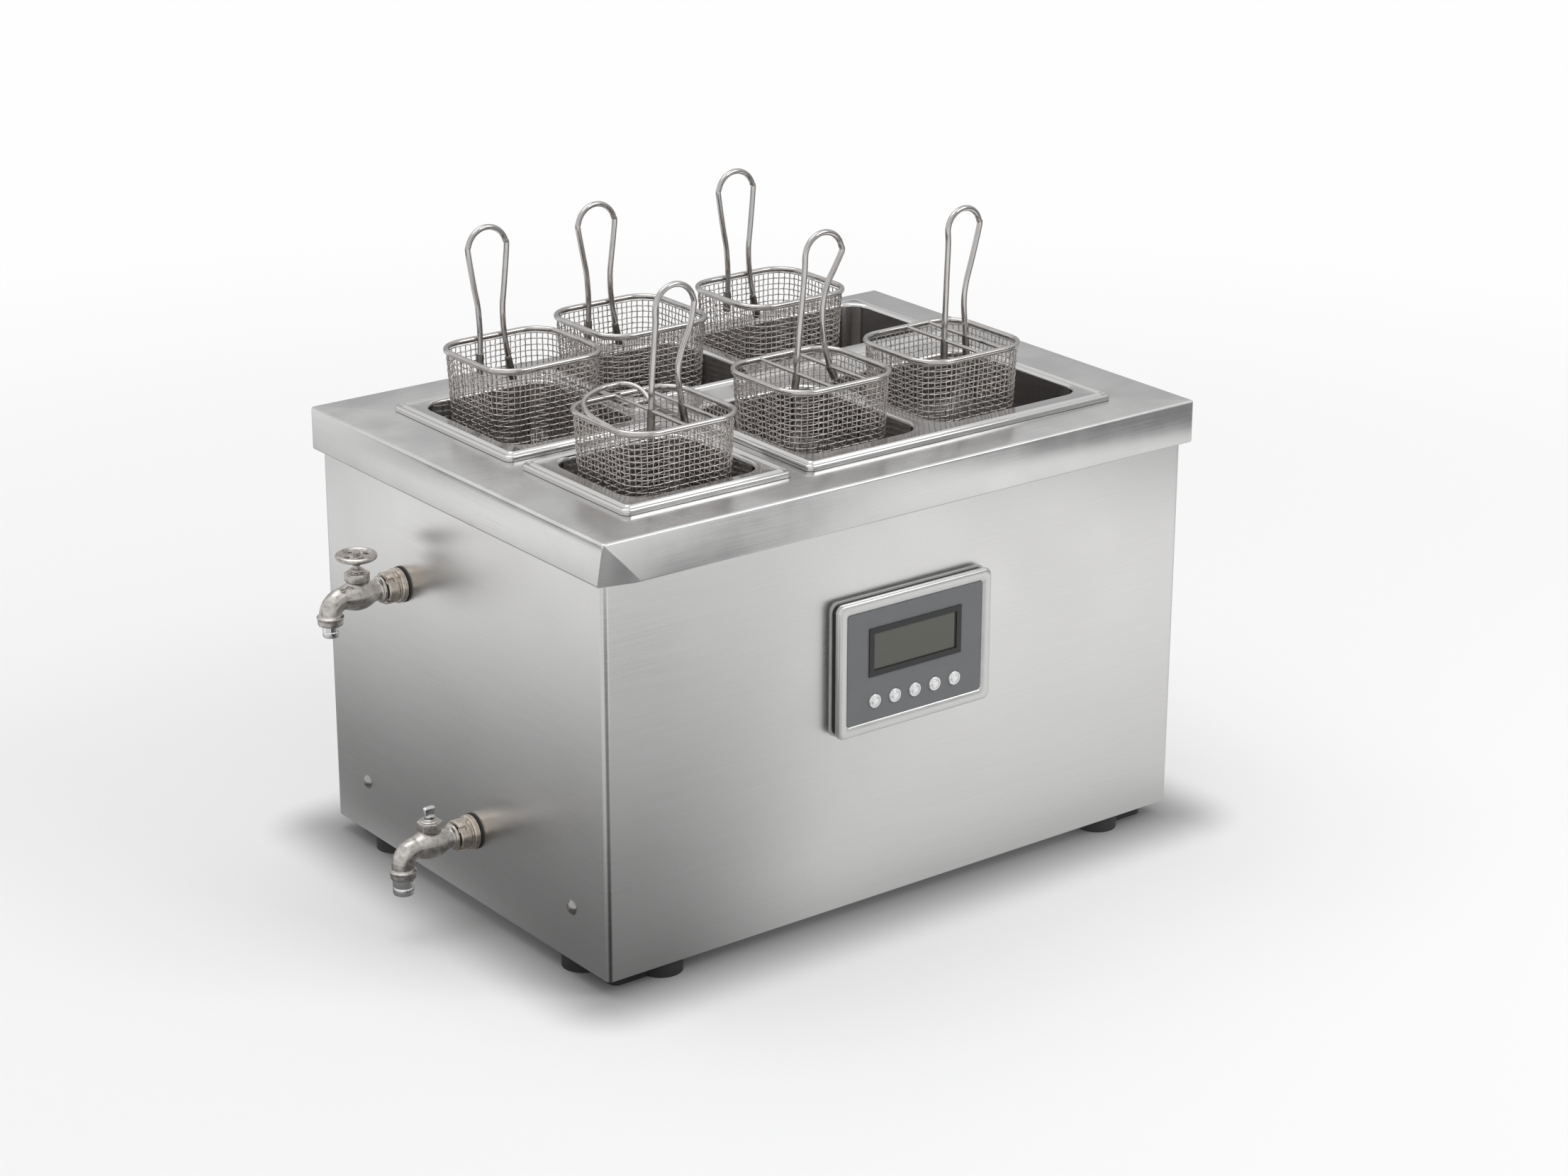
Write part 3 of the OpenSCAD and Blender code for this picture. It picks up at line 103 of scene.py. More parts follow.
class CookerPans(bpy.types.PropertyGroup):
    """Sizes of the pressed pans and the deck"""

    bend: bpy.props.FloatProperty(
        name="Deck bend", description="Outer radius of the deck's top bend",
        default=0.0025, unit="LENGTH", subtype="DISTANCE")
    sheet: bpy.props.FloatProperty(
        name="Deck sheet", description="Thickness of the deck's sheet",
        default=0.0012, unit="LENGTH", subtype="DISTANCE")
    seat: bpy.props.FloatProperty(
        name="Pan seat", description="Width of deck that carries a pan's rim",
        default=0.005, unit="LENGTH", subtype="DISTANCE")
    corner: bpy.props.FloatProperty(
        name="Pan corner", description="Corner radius of a pan's rim",
        default=0.004, unit="LENGTH", subtype="DISTANCE")
    rim: bpy.props.FloatProperty(
        name="Rim height", description="Height of a pan's rim over the deck",
        default=0.005, unit="LENGTH", subtype="DISTANCE")
    wall: bpy.props.FloatProperty(
        name="Pan sheet", description="Thickness of a pan's sheet",
        default=0.001, unit="LENGTH", subtype="DISTANCE")
    well_corner: bpy.props.FloatProperty(
        name="Well corner", description="Corner radius of a well",
        default=0.022, unit="LENGTH", subtype="DISTANCE")
    lip: bpy.props.FloatProperty(
        name="Well lip", description="Radius of the bend from rim into well",
        default=0.0032, unit="LENGTH", subtype="DISTANCE")
    depth: bpy.props.FloatProperty(
        name="Well depth", description="Depth of a well below the rim",
        default=0.075, unit="LENGTH", subtype="DISTANCE")
    hole: bpy.props.FloatProperty(
        name="Water hole", description="Radius of the water holes in a well's floor",
        default=0.004, unit="LENGTH", subtype="DISTANCE")


class CookerBaskets(bpy.types.PropertyGroup):
    """Sizes of the wire baskets"""

    pitch: bpy.props.FloatProperty(
        name="Mesh pitch", description="Distance between two wires of the mesh",
        default=0.0052, unit="LENGTH", subtype="DISTANCE")
    wire: bpy.props.FloatProperty(
        name="Mesh wire", description="Diameter of the mesh wire",
        default=0.001, unit="LENGTH", subtype="DISTANCE")
    rod: bpy.props.FloatProperty(
        name="Rim rod", description="Diameter of the rim and handle rod",
        default=0.005, unit="LENGTH", subtype="DISTANCE")
    taper: bpy.props.FloatProperty(
        name="Taper", description="How much narrower each side is at the foot",
        default=0.006, unit="LENGTH", subtype="DISTANCE")
    corner: bpy.props.FloatProperty(
        name="Corner", description="Outer corner radius of the rim",
        default=0.028, unit="LENGTH", subtype="DISTANCE")
    sway: bpy.props.FloatProperty(
        name="Mesh sway", description="How far the mesh wires stray from an even grid",
        default=0.0007, unit="LENGTH", subtype="DISTANCE")


class CookerFinish(bpy.types.PropertyGroup):
    """Colours of the cooker's finishes"""

    casing: bpy.props.FloatVectorProperty(
        name="Casing steel", description="Colour of the brushed casing",
        default=(0.71, 0.705, 0.7), subtype="COLOR", size=3, min=0, max=1)
    deck: bpy.props.FloatVectorProperty(
        name="Deck steel", description="Colour of the brushed deck",
        default=(0.64, 0.636, 0.632), subtype="COLOR", size=3, min=0, max=1)
    pan: bpy.props.FloatVectorProperty(
        name="Pan steel", description="Colour of the pressed pans",
        default=(0.6, 0.595, 0.59), subtype="COLOR", size=3, min=0, max=1)
    weave: bpy.props.FloatVectorProperty(
        name="Mesh wire", description="Colour of the basket's mesh wire",
        default=(0.51, 0.477, 0.458), subtype="COLOR", size=3, min=0, max=1)
    nickel: bpy.props.FloatVectorProperty(
        name="Tap metal", description="Colour of the taps' worn nickel",
        default=(0.5, 0.475, 0.45), subtype="COLOR", size=3, min=0, max=1)
    face: bpy.props.FloatVectorProperty(
        name="Panel face", description="Colour of the control panel's face",
        default=(0.14, 0.145, 0.15), subtype="COLOR", size=3, min=0, max=1)


class CookerStage(bpy.types.PropertyGroup):
    """Camera and light"""

    azimuth: bpy.props.FloatProperty(
        name="Azimuth", description="Turn of the view from straight ahead",
        default=math.radians(37.354), subtype="ANGLE")
    elevation: bpy.props.FloatProperty(
        name="Elevation", description="Downward tilt of the view",
        default=math.radians(20.389), subtype="ANGLE")
    roll: bpy.props.FloatProperty(
        name="Roll", description="Turn of the camera about its own view",
        default=math.radians(0.155), subtype="ANGLE")
    place: bpy.props.FloatVectorProperty(
        name="Camera place", description="Where the camera stands",
        default=(-1.7160, -2.3459, 1.3096), subtype="TRANSLATION", unit="LENGTH", size=3)
    lens: bpy.props.FloatProperty(
        name="Lens", description="Focal length on a 36 mm wide sensor",
        default=81.69, min=1, max=500)
    sky: bpy.props.FloatProperty(
        name="Sky", description="Level of the light from all round",
        default=0.72, min=0, max=4)


class CookerSettings(bpy.types.PropertyGroup):
    """All settings of the pasta cooker"""

    pans: bpy.props.PointerProperty(type=CookerPans)
    baskets: bpy.props.PointerProperty(type=CookerBaskets)
    finish: bpy.props.PointerProperty(type=CookerFinish)
    stage: bpy.props.PointerProperty(type=CookerStage)


def settings():
    """The cooker's settings in the open scene."""
    return bpy.context.scene.pasta_cooker


# ------------------------------------------------------------ shape helpers


def middle_of(low, high):
    """Middle of a box, seen from above."""
    return (low.x + high.x) / 2, (low.y + high.y) / 2


def edges_of(verts):
    """The edges that meet in some vertices."""
    return list({e for v in verts for e in v.link_edges})


def quarter_turn(steps):
    """Sine and cosine at even steps from nothing to a quarter turn."""
    turns = [k * math.pi / 2 / steps for k in range(steps + 1)]
    return [(math.sin(turn), math.cos(turn)) for turn in turns]


def rounded_loop(bm, w, d, r, z, middle=(0, 0), arc=9):
    """Edges of a level rounded rectangle, w by d with corner radius r."""
    turn = Matrix.Rotation(math.pi / (4 * arc), 3, "Z")
    verts = bmesh.ops.create_circle(bm, cap_ends=False, radius=r, segments=4 * arc)["verts"]
    for v in verts:
        p = turn @ v.co
        v.co = (
            middle[0] + p.x + math.copysign(w / 2 - r, p.x),
            middle[1] + p.y + math.copysign(d / 2 - r, p.y),
            z,
        )
    return edges_of(verts)


def loft(bm, loops):
    """Joins each loop of edges to the next one."""
    for low, high in zip(loops, loops[1:]):
        bmesh.ops.bridge_loops(bm, edges=low + high)


def sheet_with_holes(bm, outline, holes):
    """Fills a level outline, leaving its holes open."""
    edges = [*outline, *(e for hole in holes for e in hole)]
    bmesh.ops.triangle_fill(bm, use_beauty=True, use_dissolve=False, edges=edges)


def face_up(bm):
    """Makes the normals agree, with the level faces of the top pointing up."""
    bmesh.ops.recalc_face_normals(bm, faces=bm.faces)
    total = sum(f.normal.z * f.calc_area() for f in bm.faces if abs(f.normal.z) > 0.9)
    if total < 0:
        bmesh.ops.reverse_faces(bm, faces=bm.faces)


def lathe(bm, profile, place=Matrix.Identity(4), steps=48):
    """Spins (radius, height) points about Z, then moves the shape to its place."""
    old = set(bm.verts)
    verts = [bm.verts.new((r, 0, z)) for r, z in profile]
    edges = [bm.edges.new(pair) for pair in zip(verts, verts[1:])]
    bmesh.ops.spin(
        bm, geom=verts + edges, cent=(0, 0, 0), axis=(0, 0, 1),
        angle=2 * math.pi, steps=steps, use_merge=True)
    new = [v for v in bm.verts if v not in old]
    bmesh.ops.remove_doubles(bm, verts=new, dist=1e-6)
    new = [v for v in bm.verts if v not in old]
    bmesh.ops.transform(bm, matrix=place, verts=new)


def smoothed(points, steps=6):
    """Points of a smooth curve through the given ones."""
    points = [Vector(p) for p in points]
    ends = [2 * points[0] - points[1]] + points + [2 * points[-1] - points[-2]]
    curve = []
    for a, b, c, d in zip(ends, ends[1:], ends[2:], ends[3:]):
        for k in range(steps):
            t = k / steps
            curve.append(0.5 * (2 * b + (c - a) * t + (2 * a - 5 * b + 4 * c - d) * t ** 2
                                + (3 * b - 3 * c + d - a) * t ** 3))
    return curve + [points[-1]]


def finish(name):
    """The finish of that name, as make_finishes left it."""
    return bpy.data.materials[name]


def finish_piece(name, mesh, look, body, nodes, crease=32):
    """Turns a mesh into a piece with a look, on a body and in the place of CAD nodes.

    Edges sharper than crease, in degrees, stay sharp."""
    mesh.name = name
    mesh.shade_smooth()
    mesh.set_sharp_from_angle(angle=math.radians(crease))
    mesh.materials.clear()
    mesh.materials.append(finish(look))
    piece = bpy.data.objects.new(name, mesh)
    bpy.context.scene.collection.objects.link(piece)
    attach(piece, body)
    if nodes:
        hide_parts(*nodes)


def mesh_from(bm):
    """Turns a bmesh into a mesh."""
    mesh = bpy.data.meshes.new("shape")
    bm.to_mesh(mesh)
    bm.free()
    return mesh


def closed_mesh(bm):
    """A mesh from closed shapes, with their faces pointing outwards."""
    bmesh.ops.recalc_face_normals(bm, faces=bm.faces)
    return mesh_from(bm)


def evaluated(holder):
    """The finished mesh of an object that is made only to hold it."""
    bpy.context.scene.collection.objects.link(holder)
    bpy.context.view_layer.update()
    graph = bpy.context.evaluated_depsgraph_get()
    mesh = bpy.data.meshes.new_from_object(holder.evaluated_get(graph))
    bpy.data.objects.remove(holder)
    return mesh


def settled(mesh, modifiers):
    """The mesh after modifiers, each given as a type and its values."""
    holder = bpy.data.objects.new("holder", mesh)
    for kind, values in modifiers:
        modifier = holder.modifiers.new(kind.title(), kind)
        for key, value in values.items():
            setattr(modifier, key, value)
    return evaluated(holder)


def cut_away(mesh, knives, bevel_over=None):
    """Takes the knives out of a mesh, and bevels edges sharper than an angle in degrees."""
    knife = bpy.data.objects.new("knife", closed_mesh(knives))
    bpy.context.scene.collection.objects.link(knife)
    steps = [("BOOLEAN", {"operation": "DIFFERENCE", "object": knife, "solver": "EXACT"})]
    if bevel_over:
        steps.append(("BEVEL", {"width": 0.0003, "segments": 2, "limit_method": "ANGLE",
                                "angle_limit": math.radians(bevel_over)}))
    mesh = settled(mesh, steps)
    bpy.data.objects.remove(knife)
    return mesh


def wires(splines, radius, sides):
    """A mesh of round wires from (points, closed, widths) splines."""
    curve = bpy.data.curves.new("wires", "CURVE")
    curve.dimensions = "3D"
    curve.bevel_depth = radius
    curve.bevel_resolution = max(0, (sides - 4) // 2)
    curve.use_fill_caps = True
    for points, closed, widths in splines:
        spline = curve.splines.new("POLY")
        spline.points.add(len(points) - 1)
        spline.points.foreach_set("co", [c for p in points for c in (p[0], p[1], p[2], 1.0)])
        spline.points.foreach_set("radius", widths or [1.0] * len(points))
        spline.use_cyclic_u = closed
        spline.use_smooth = True
    return evaluated(bpy.data.objects.new("wires", curve))


# --------------------------------------------------------- finish helpers


def new_group(name, inputs, outputs):
    """A node group with named sockets, and the nodes at its two ends."""
    tree = bpy.data.node_groups.new(name, "ShaderNodeTree")
    for label, kind, value in inputs:
        socket = tree.interface.new_socket(name=label, in_out="INPUT", socket_type=kind)
        socket.default_value = value
    for label, kind in outputs:
        tree.interface.new_socket(name=label, in_out="OUTPUT", socket_type=kind)
    return tree, tree.nodes.new("NodeGroupInput"), tree.nodes.new("NodeGroupOutput")


def add(tree, kind, links=(), **values):
    """A node with its plain values set and its inputs linked by name or number."""
    node = tree.nodes.new(kind)
    for key, value in values.items():
        setattr(node, key, value)
    for key, source in links:
        if isinstance(source, bpy.types.NodeSocket):
            tree.links.new(source, node.inputs[key])
        else:
            node.inputs[key].default_value = source
    return node


def maths(tree, operation, *values):
    """A number worked out from others, which are plain or come from sockets."""
    return add(tree, "ShaderNodeMath", enumerate(values), operation=operation).outputs[0]


def vectors(tree, operation, *values):
    """A vector, a length or a dot product worked out from vectors."""
    node = add(tree, "ShaderNodeVectorMath", enumerate(values), operation=operation)
    return node.outputs["Value" if operation in ("LENGTH", "DOT_PRODUCT") else "Vector"]


def ramped(tree, value, start, end, low=0.0, high=1.0, smooth=True):
    """A value that goes from low, where another is at start, to high at end."""
    node = add(tree, "ShaderNodeMapRange",
               [("Value", value), ("From Min", start), ("From Max", end),
                ("To Min", low), ("To Max", high)],
               interpolation_type="SMOOTHSTEP" if smooth else "LINEAR")
    return node.outputs["Result"]


def spread(tree, value, low, high):
    """A value near the middle of a noise, spread from low to high."""
    return ramped(tree, value, 0.3, 0.7, low, high, smooth=False)


def noise(tree, place, scale, detail, roughness):
    """A noise in space, from 0 to 1 and mostly near the middle."""
    node = add(tree, "ShaderNodeTexNoise",
               [("Vector", place), ("Scale", scale), ("Detail", detail),
                ("Roughness", roughness)])
    return node.outputs["Fac"]


def tinted(tree, value, dark, light):
    """A colour between dark, where the value is 0, and light, where it is 1."""
    mix = add(tree, "ShaderNodeMix", [(0, value), (6, (*dark, 1)), (7, (*light, 1))],
              data_type="RGBA")
    return mix.outputs[2]


def shaded(colour, factor):
    """A colour made lighter or darker, and no lighter than white."""
    return tuple(min(1.0, c * factor) for c in colour)


def brushing_group():
    """Fine straight scratches and slow clouds of a brushed sheet.

    Lengths are in metres of the object: Along is the length of a scratch, Across its width
    and Clouds the size of a cloud. Level faces are scratched along X."""
    tree, inside, out = new_group(
        "Brushing",
        [("Across", "NodeSocketFloat", 0.0006), ("Along", "NodeSocketFloat", 0.08),
         ("Clouds", "NodeSocketFloat", 0.12)],
        [("Scratch", "NodeSocketFloat"), ("Cloud", "NodeSocketFloat")])
    place = add(tree, "ShaderNodeTexCoord").outputs["Object"]
    normal = add(tree, "ShaderNodeNewGeometry").outputs["True Normal"]
    parts = add(tree, "ShaderNodeSeparateXYZ", [(0, normal)])
    flat = maths(tree, "GREATER_THAN", maths(tree, "ABSOLUTE", parts.outputs["Z"]), 0.7)
    fine, long, size = (maths(tree, "DIVIDE", 1.0, inside.outputs[label])
                        for label in ("Across", "Along", "Clouds"))
    upright = add(tree, "ShaderNodeCombineXYZ", enumerate((long, long, fine)))
    lying = add(tree, "ShaderNodeCombineXYZ", enumerate((long, fine, long)))
    scale = add(tree, "ShaderNodeMix", [(0, flat), (4, upright.outputs[0]),
                                        (5, lying.outputs[0])], data_type="VECTOR")
    stretched = vectors(tree, "MULTIPLY", place, scale.outputs[1])
    tree.links.new(noise(tree, stretched, 1.0, 4.0, 0.65), out.inputs["Scratch"])
    tree.links.new(noise(tree, place, size, 2.0, 0.5), out.inputs["Cloud"])


def grain_group():
    """Even small grain, as of moulded plastic, cast metal or rubber."""
    tree, inside, out = new_group(
        "Grain",
        [("Size", "NodeSocketFloat", 0.0008), ("Patches", "NodeSocketFloat", 0.02)],
        [("Fine", "NodeSocketFloat"), ("Patch", "NodeSocketFloat")])
    place = add(tree, "ShaderNodeTexCoord").outputs["Object"]
    for label, source, detail in (("Fine", "Size", 3.0), ("Patch", "Patches", 4.0)):
        scale = maths(tree, "DIVIDE", 1.0, inside.outputs[source])
        tree.links.new(noise(tree, place, scale, detail, 0.6), out.inputs[label])


def new_finish(name):
    """A new material, its node tree and its shader."""
    material = bpy.data.materials.new(name)
    material.use_nodes = True
    tree = material.node_tree
    return material, tree, tree.nodes["Principled BSDF"]


def patterned(name, group, sizes):
    """A new finish with a pattern group in it, at the given sizes."""
    _, tree, shader = new_finish(name)
    pattern = add(tree, "ShaderNodeGroup", node_tree=bpy.data.node_groups[group])
    for label, size in sizes.items():
        pattern.inputs[label].default_value = size
    return tree, shader, pattern


def feed(tree, shader, colour, contrast, shade, rough, height, bump):
    """Drives a shader's colour, roughness and relief with patterns."""
    relief = add(tree, "ShaderNodeBump", [("Strength", bump), ("Distance", 0.0001),
                                          ("Height", height)])
    base = tinted(tree, shade, shaded(colour, 1 - contrast), shaded(colour, 1 + contrast))
    for label, source in (("Base Color", base), ("Roughness", rough),
                          ("Normal", relief.outputs["Normal"])):
        tree.links.new(source, shader.inputs[label])


def brushed_steel(name, colour, rough=(0.28, 0.34), contrast=0.04, bump=0.07,
                  across=0.0006, along=0.08, anisotropic=0.5, clouds=0.12, patchy=0.0):
    """Steel sheet with fine scratches, and with patches of shade where patchy isn't 0."""
    tree, shader, brush = patterned(
        name, "Brushing", {"Across": across, "Along": along, "Clouds": clouds})
    scratch, cloud = brush.outputs["Scratch"], brush.outputs["Cloud"]
    shade = spread(tree, scratch, 0, 1)
    if patchy:
        shade = maths(tree, "ADD", shade, spread(tree, cloud, -patchy, patchy))
    uneven = maths(tree, "ADD", spread(tree, cloud, -0.03, 0.03), spread(tree, scratch, *rough))
    feed(tree, shader, colour, contrast, shade, uneven, scratch, bump)
    shader.inputs["Metallic"].default_value = 1.0
    if anisotropic:
        shader.inputs["Anisotropic"].default_value = anisotropic
        tangent = add(tree, "ShaderNodeTangent", direction_type="RADIAL", axis="Z")
        tree.links.new(tangent.outputs[0], shader.inputs["Tangent"])


def grained(name, colour, rough, metallic=0.0, contrast=0.08, bump=0.1, size=0.0008,
            patches=0.02, rough_spread=0.06, coat=0.0):
    """Cast, moulded or polished stuff with a fine grain and slow patches."""
    tree, shader, grain = patterned(name, "Grain", {"Size": size, "Patches": patches})
    patch = grain.outputs["Patch"]
    uneven = spread(tree, patch, rough - rough_spread, rough + rough_spread)
    feed(tree, shader, colour, contrast, spread(tree, patch, 0, 1), uneven,
         grain.outputs["Fine"], bump)
    shader.inputs["Metallic"].default_value = metallic
    shader.inputs["Coat Weight"].default_value = coat


def dress(looks):
    """Gives CAD nodes their finish, from the names of the nodes under each finish."""
    for look, nodes in looks.items():
        for node in nodes:
            NODES[node].data.materials[0] = finish(look)


def make_finishes():
    """Builds the pattern groups and the finish of every part."""
    brushing_group()
    grain_group()
    look = settings().finish
    brushed_steel("casing steel", look.casing)
    brushed_steel("deck steel", look.deck, rough=(0.2, 0.28), contrast=0.05, clouds=0.05,
                  patchy=0.8)
    brushed_steel("pan steel", look.pan, rough=(0.09, 0.15), contrast=0.03, bump=0.05,
                  anisotropic=0.0, across=0.0009, along=0.05)
    brushed_steel("inner steel", shaded(look.casing, 0.75), rough=(0.3, 0.42), anisotropic=0.0)
    grained("mesh wire", look.weave, 0.32, metallic=1.0, contrast=0.35, patches=0.004,
            bump=0.05)
    grained("polished rod", (0.47, 0.455, 0.445), 0.11, metallic=1.0, contrast=0.08,
            patches=0.012, bump=0.03)
    grained("sleeve steel", (0.2, 0.185, 0.17), 0.3, metallic=1.0, contrast=0.35,
            patches=0.005, bump=0.08)
    grained("worn nickel", look.nickel, 0.3, metallic=1.0, contrast=0.28, patches=0.004,
            size=0.0005, bump=0.25, rough_spread=0.1)
    grained("warm nickel", (0.54, 0.49, 0.43), 0.28, metallic=1.0, contrast=0.25,
            patches=0.003, bump=0.2)
    grained("bright chrome", (0.72, 0.72, 0.72), 0.1, metallic=1.0, contrast=0.08,
            patches=0.006, bump=0.03)
    grained("screw steel", (0.33, 0.32, 0.31), 0.13, metallic=1.0, contrast=0.1, bump=0.05)
    grained("brass fitting", (0.6, 0.45, 0.22), 0.3, metallic=1.0, contrast=0.15)
    grained("black rubber", (0.022, 0.022, 0.022), 0.62, contrast=0.25, bump=0.3)
    grained("grey rubber", (0.5, 0.5, 0.49), 0.55, contrast=0.1, bump=0.2)
    grained("black plastic", (0.018, 0.018, 0.018), 0.4, contrast=0.2, bump=0.2)
    grained("silver lacquer", (0.62, 0.62, 0.61), 0.3, metallic=0.75, contrast=0.05,
            size=0.0003, bump=0.04)
    grained("panel grey", look.face, 0.45, contrast=0.05, size=0.0004, bump=0.12)
    grained("unlit display", (0.058, 0.058, 0.045), 0.12, contrast=0.06, patches=0.05,
            bump=0.01, coat=0.4)
    grained("button silver", (0.8, 0.8, 0.8), 0.24, metallic=0.6, contrast=0.05, bump=0.04)
    grained("board green", (0.02, 0.12, 0.05), 0.4, contrast=0.2, patches=0.004)
    grained("cream plastic", (0.7, 0.67, 0.58), 0.45, contrast=0.06, bump=0.1)
    grained("dark plastic", (0.05, 0.05, 0.055), 0.45, contrast=0.15, bump=0.15)
    grained("element sheath", (0.1, 0.095, 0.09), 0.5, metallic=0.7, contrast=0.3, patches=0.01)


# ------------------------------------------------------------- operators


class COOKER_OT_deck(bpy.types.Operator):
    """Folds the deck cover from one sheet, with its cut-outs and corner facet"""

    bl_idname = "cooker.deck"
    bl_label = "Build deck"

    facet_side: bpy.props.FloatProperty(
        name="Facet on the side", description="Length of the corner facet along the left skirt",
        default=0.0085, unit="LENGTH", subtype="DISTANCE")
    facet_front: bpy.props.FloatProperty(
        name="Facet on the front", description="Length of the corner facet along the front skirt",
        default=0.034, unit="LENGTH", subtype="DISTANCE")
    hem: bpy.props.FloatProperty(
        name="Hem", description="Radius of the skirt's rolled lower edge",
        default=0.0018, unit="LENGTH", subtype="DISTANCE")

    def execute(self, context):
        pans = settings().pans
        low, high = DECK_LOW, DECK_HIGH
        size = high - low
        middle = middle_of(low, high)
        bend = pans.bend
        # Distance in from the skirt and level, up the hem and over the top bend
        profile = [(self.hem * (1 - s), low.z + self.hem * (1 - c)) for s, c in quarter_turn(6)]
        profile += [(bend * (1 - c), high.z - bend * (1 - s)) for s, c in quarter_turn(6)]
        corner = bend * 1.2
        bm = bmesh.new()
        loops = [rounded_loop(bm, size.x - 2 * i, size.y - 2 * i, corner - i, z, middle)
                 for i, z in profile]
        loft(bm, loops)
        holes = []
        for node in PAN_WELLS:
            a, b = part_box(node)
            holes.append(rounded_loop(
                bm, b.x - a.x - 2 * pans.seat, b.y - a.y - 2 * pans.seat, pans.seat, high.z,
                middle_of(a, b), arc=5))
        sheet_with_holes(bm, loops[-1], holes)
        self.cut_facet(bm, low, size)
        face_up(bm)
        mesh = settled(mesh_from(bm), [
            ("SOLIDIFY", {"thickness": pans.sheet, "offset": -1.0, "use_even_offset": True})])
        finish_piece("deck_sheet", mesh, "deck steel", "housing", ["deck_cover"])
        return {"FINISHED"}

    def cut_facet(self, bm, low, size):
        """Cuts the front left corner off on a slant and closes the cut."""
        corner = Vector((low.x, low.y, low.z + size.z))
        normal = Vector((-self.facet_side * size.z, -self.facet_front * size.z,
                         -self.facet_side * self.facet_front)).normalized()
        tip = 0.0006  # how far the cut lies in from the corner's tip
        cut = bmesh.ops.bisect_plane(
            bm, geom=bm.verts[:] + bm.edges[:] + bm.faces[:], dist=1e-6,
            plane_co=corner - normal * tip, plane_no=normal, clear_outer=True)
        edges = [e for e in cut["geom_cut"] if isinstance(e, bmesh.types.BMEdge)]
        ends = [v for v in {v for e in edges for v in e.verts}
                if sum(e in edges for e in v.link_edges) == 1]
        if len(ends) == 2:
            edges.append(bm.edges.new(ends))
        bmesh.ops.contextual_create(bm, geom=edges)


class COOKER_OT_pans(bpy.types.Operator):
    """Presses the four drop-in pans with their rims, wells and water holes"""

    bl_idname = "cooker.pans"
    bl_label = "Build pans"

    pitch: bpy.props.FloatProperty(
        name="Water hole pitch", description="Distance between two water holes",
        default=0.036, unit="LENGTH", subtype="DISTANCE")
    bead: bpy.props.FloatProperty(
        name="Bead height", description="Height of the pressed bead round the rim",
        default=0.0016, unit="LENGTH", subtype="DISTANCE")
    bead_room: bpy.props.FloatProperty(
        name="Room for a bead", description="Width of rim beside a well that a bead asks for",
        default=0.012, unit="LENGTH", subtype="DISTANCE")

    def execute(self, context):
        for node, wells in PAN_WELLS.items():
            self.build(node, wells)
        return {"FINISHED"}

    def build(self, node, wells):
        """One pan: its folded edge, rim and bead, with its wells hung from the rim."""
        pans = settings().pans
        low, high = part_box(node)
        w, d = high.x - low.x, high.y - low.y
        middle = middle_of(low, high)
        rim = pans.rim
        bm = bmesh.new()
        # Distance in from the edge and height over the deck, from the hem inwards
        profile = [(0.0, 0.0003), (0.0, rim - 0.0018), (0.0003, rim - 0.0008),
                   (0.001, rim - 0.0001), (0.0019, rim + 0.0002), (0.0028, rim - 0.0001),
                   (0.0036, rim - 0.0006)]
        if min(well[0] for well in wells) >= self.bead_room:
            profile += [(0.0043, rim - 0.0006), (0.0049, rim + 0.0001),
                        (0.0056, rim + self.bead * 0.75), (0.0064, rim + self.bead),
                        (0.0072, rim + self.bead * 0.75), (0.008, rim + 0.0002)]
        profile += [(profile[-1][0] + 0.0007, rim)]
        loops = [rounded_loop(bm, w - 2 * i, d - 2 * i, max(pans.corner * 1.6 - i * 0.5, 0.001),
                              DECK_TOP + z, middle) for i, z in profile]
        loft(bm, loops)
        mouths = [self.well(bm, low, well) for well in wells]
        sheet_with_holes(bm, loops[-1], mouths)
        face_up(bm)
        mesh = settled(mesh_from(bm), [
            ("SOLIDIFY", {"thickness": pans.wall * 0.9, "offset": -1.0})])
        finish_piece(node + "_pressing", mesh, "pan steel", node + "_body", [node],
                     crease=40)

    def well(self, bm, low, well):
        """Lofts one well down to its floor and returns the loop of its mouth."""
        pans = settings().pans
        x, y, w, d = well
        middle = (low.x + x + w / 2, low.y + y + d / 2)
        top = DECK_TOP + pans.rim
        floor = top - pans.depth
        lip, corner = pans.lip, pans.well_corner
        foot, lean = 0.009, 0.0015  # radius of the floor's bend, and how far the walls lean in
        # Distance in from the mouth and level, over the lip and round the floor's bend
        profile = [(-lip * (1 - s), top - lip * (1 - c)) for s, c in quarter_turn(5)]
        profile += [(lean + foot * (1 - c), floor + foot * (1 - s)) for s, c in quarter_turn(6)]
        loops = [rounded_loop(bm, w - 2 * i, d - 2 * i, corner - i, z, middle)
                 for i, z in profile]
        loft(bm, loops)
        holes = []
        columns = int((w - 2 * corner) / self.pitch + 0.05)
        rows = int((d - 2 * corner) / self.pitch + 0.05)
        for i in range(columns + 1):
            for j in range(rows + 1):
                at = Matrix.Translation((
                    middle[0] + (i - columns / 2) * self.pitch,
                    middle[1] + (j - rows / 2) * self.pitch, floor))
                holes.append(edges_of(bmesh.ops.create_circle(
                    bm, cap_ends=False, radius=pans.hole, segments=16, matrix=at)["verts"]))
        sheet_with_holes(bm, loops[-1], holes)
        return loops[0]


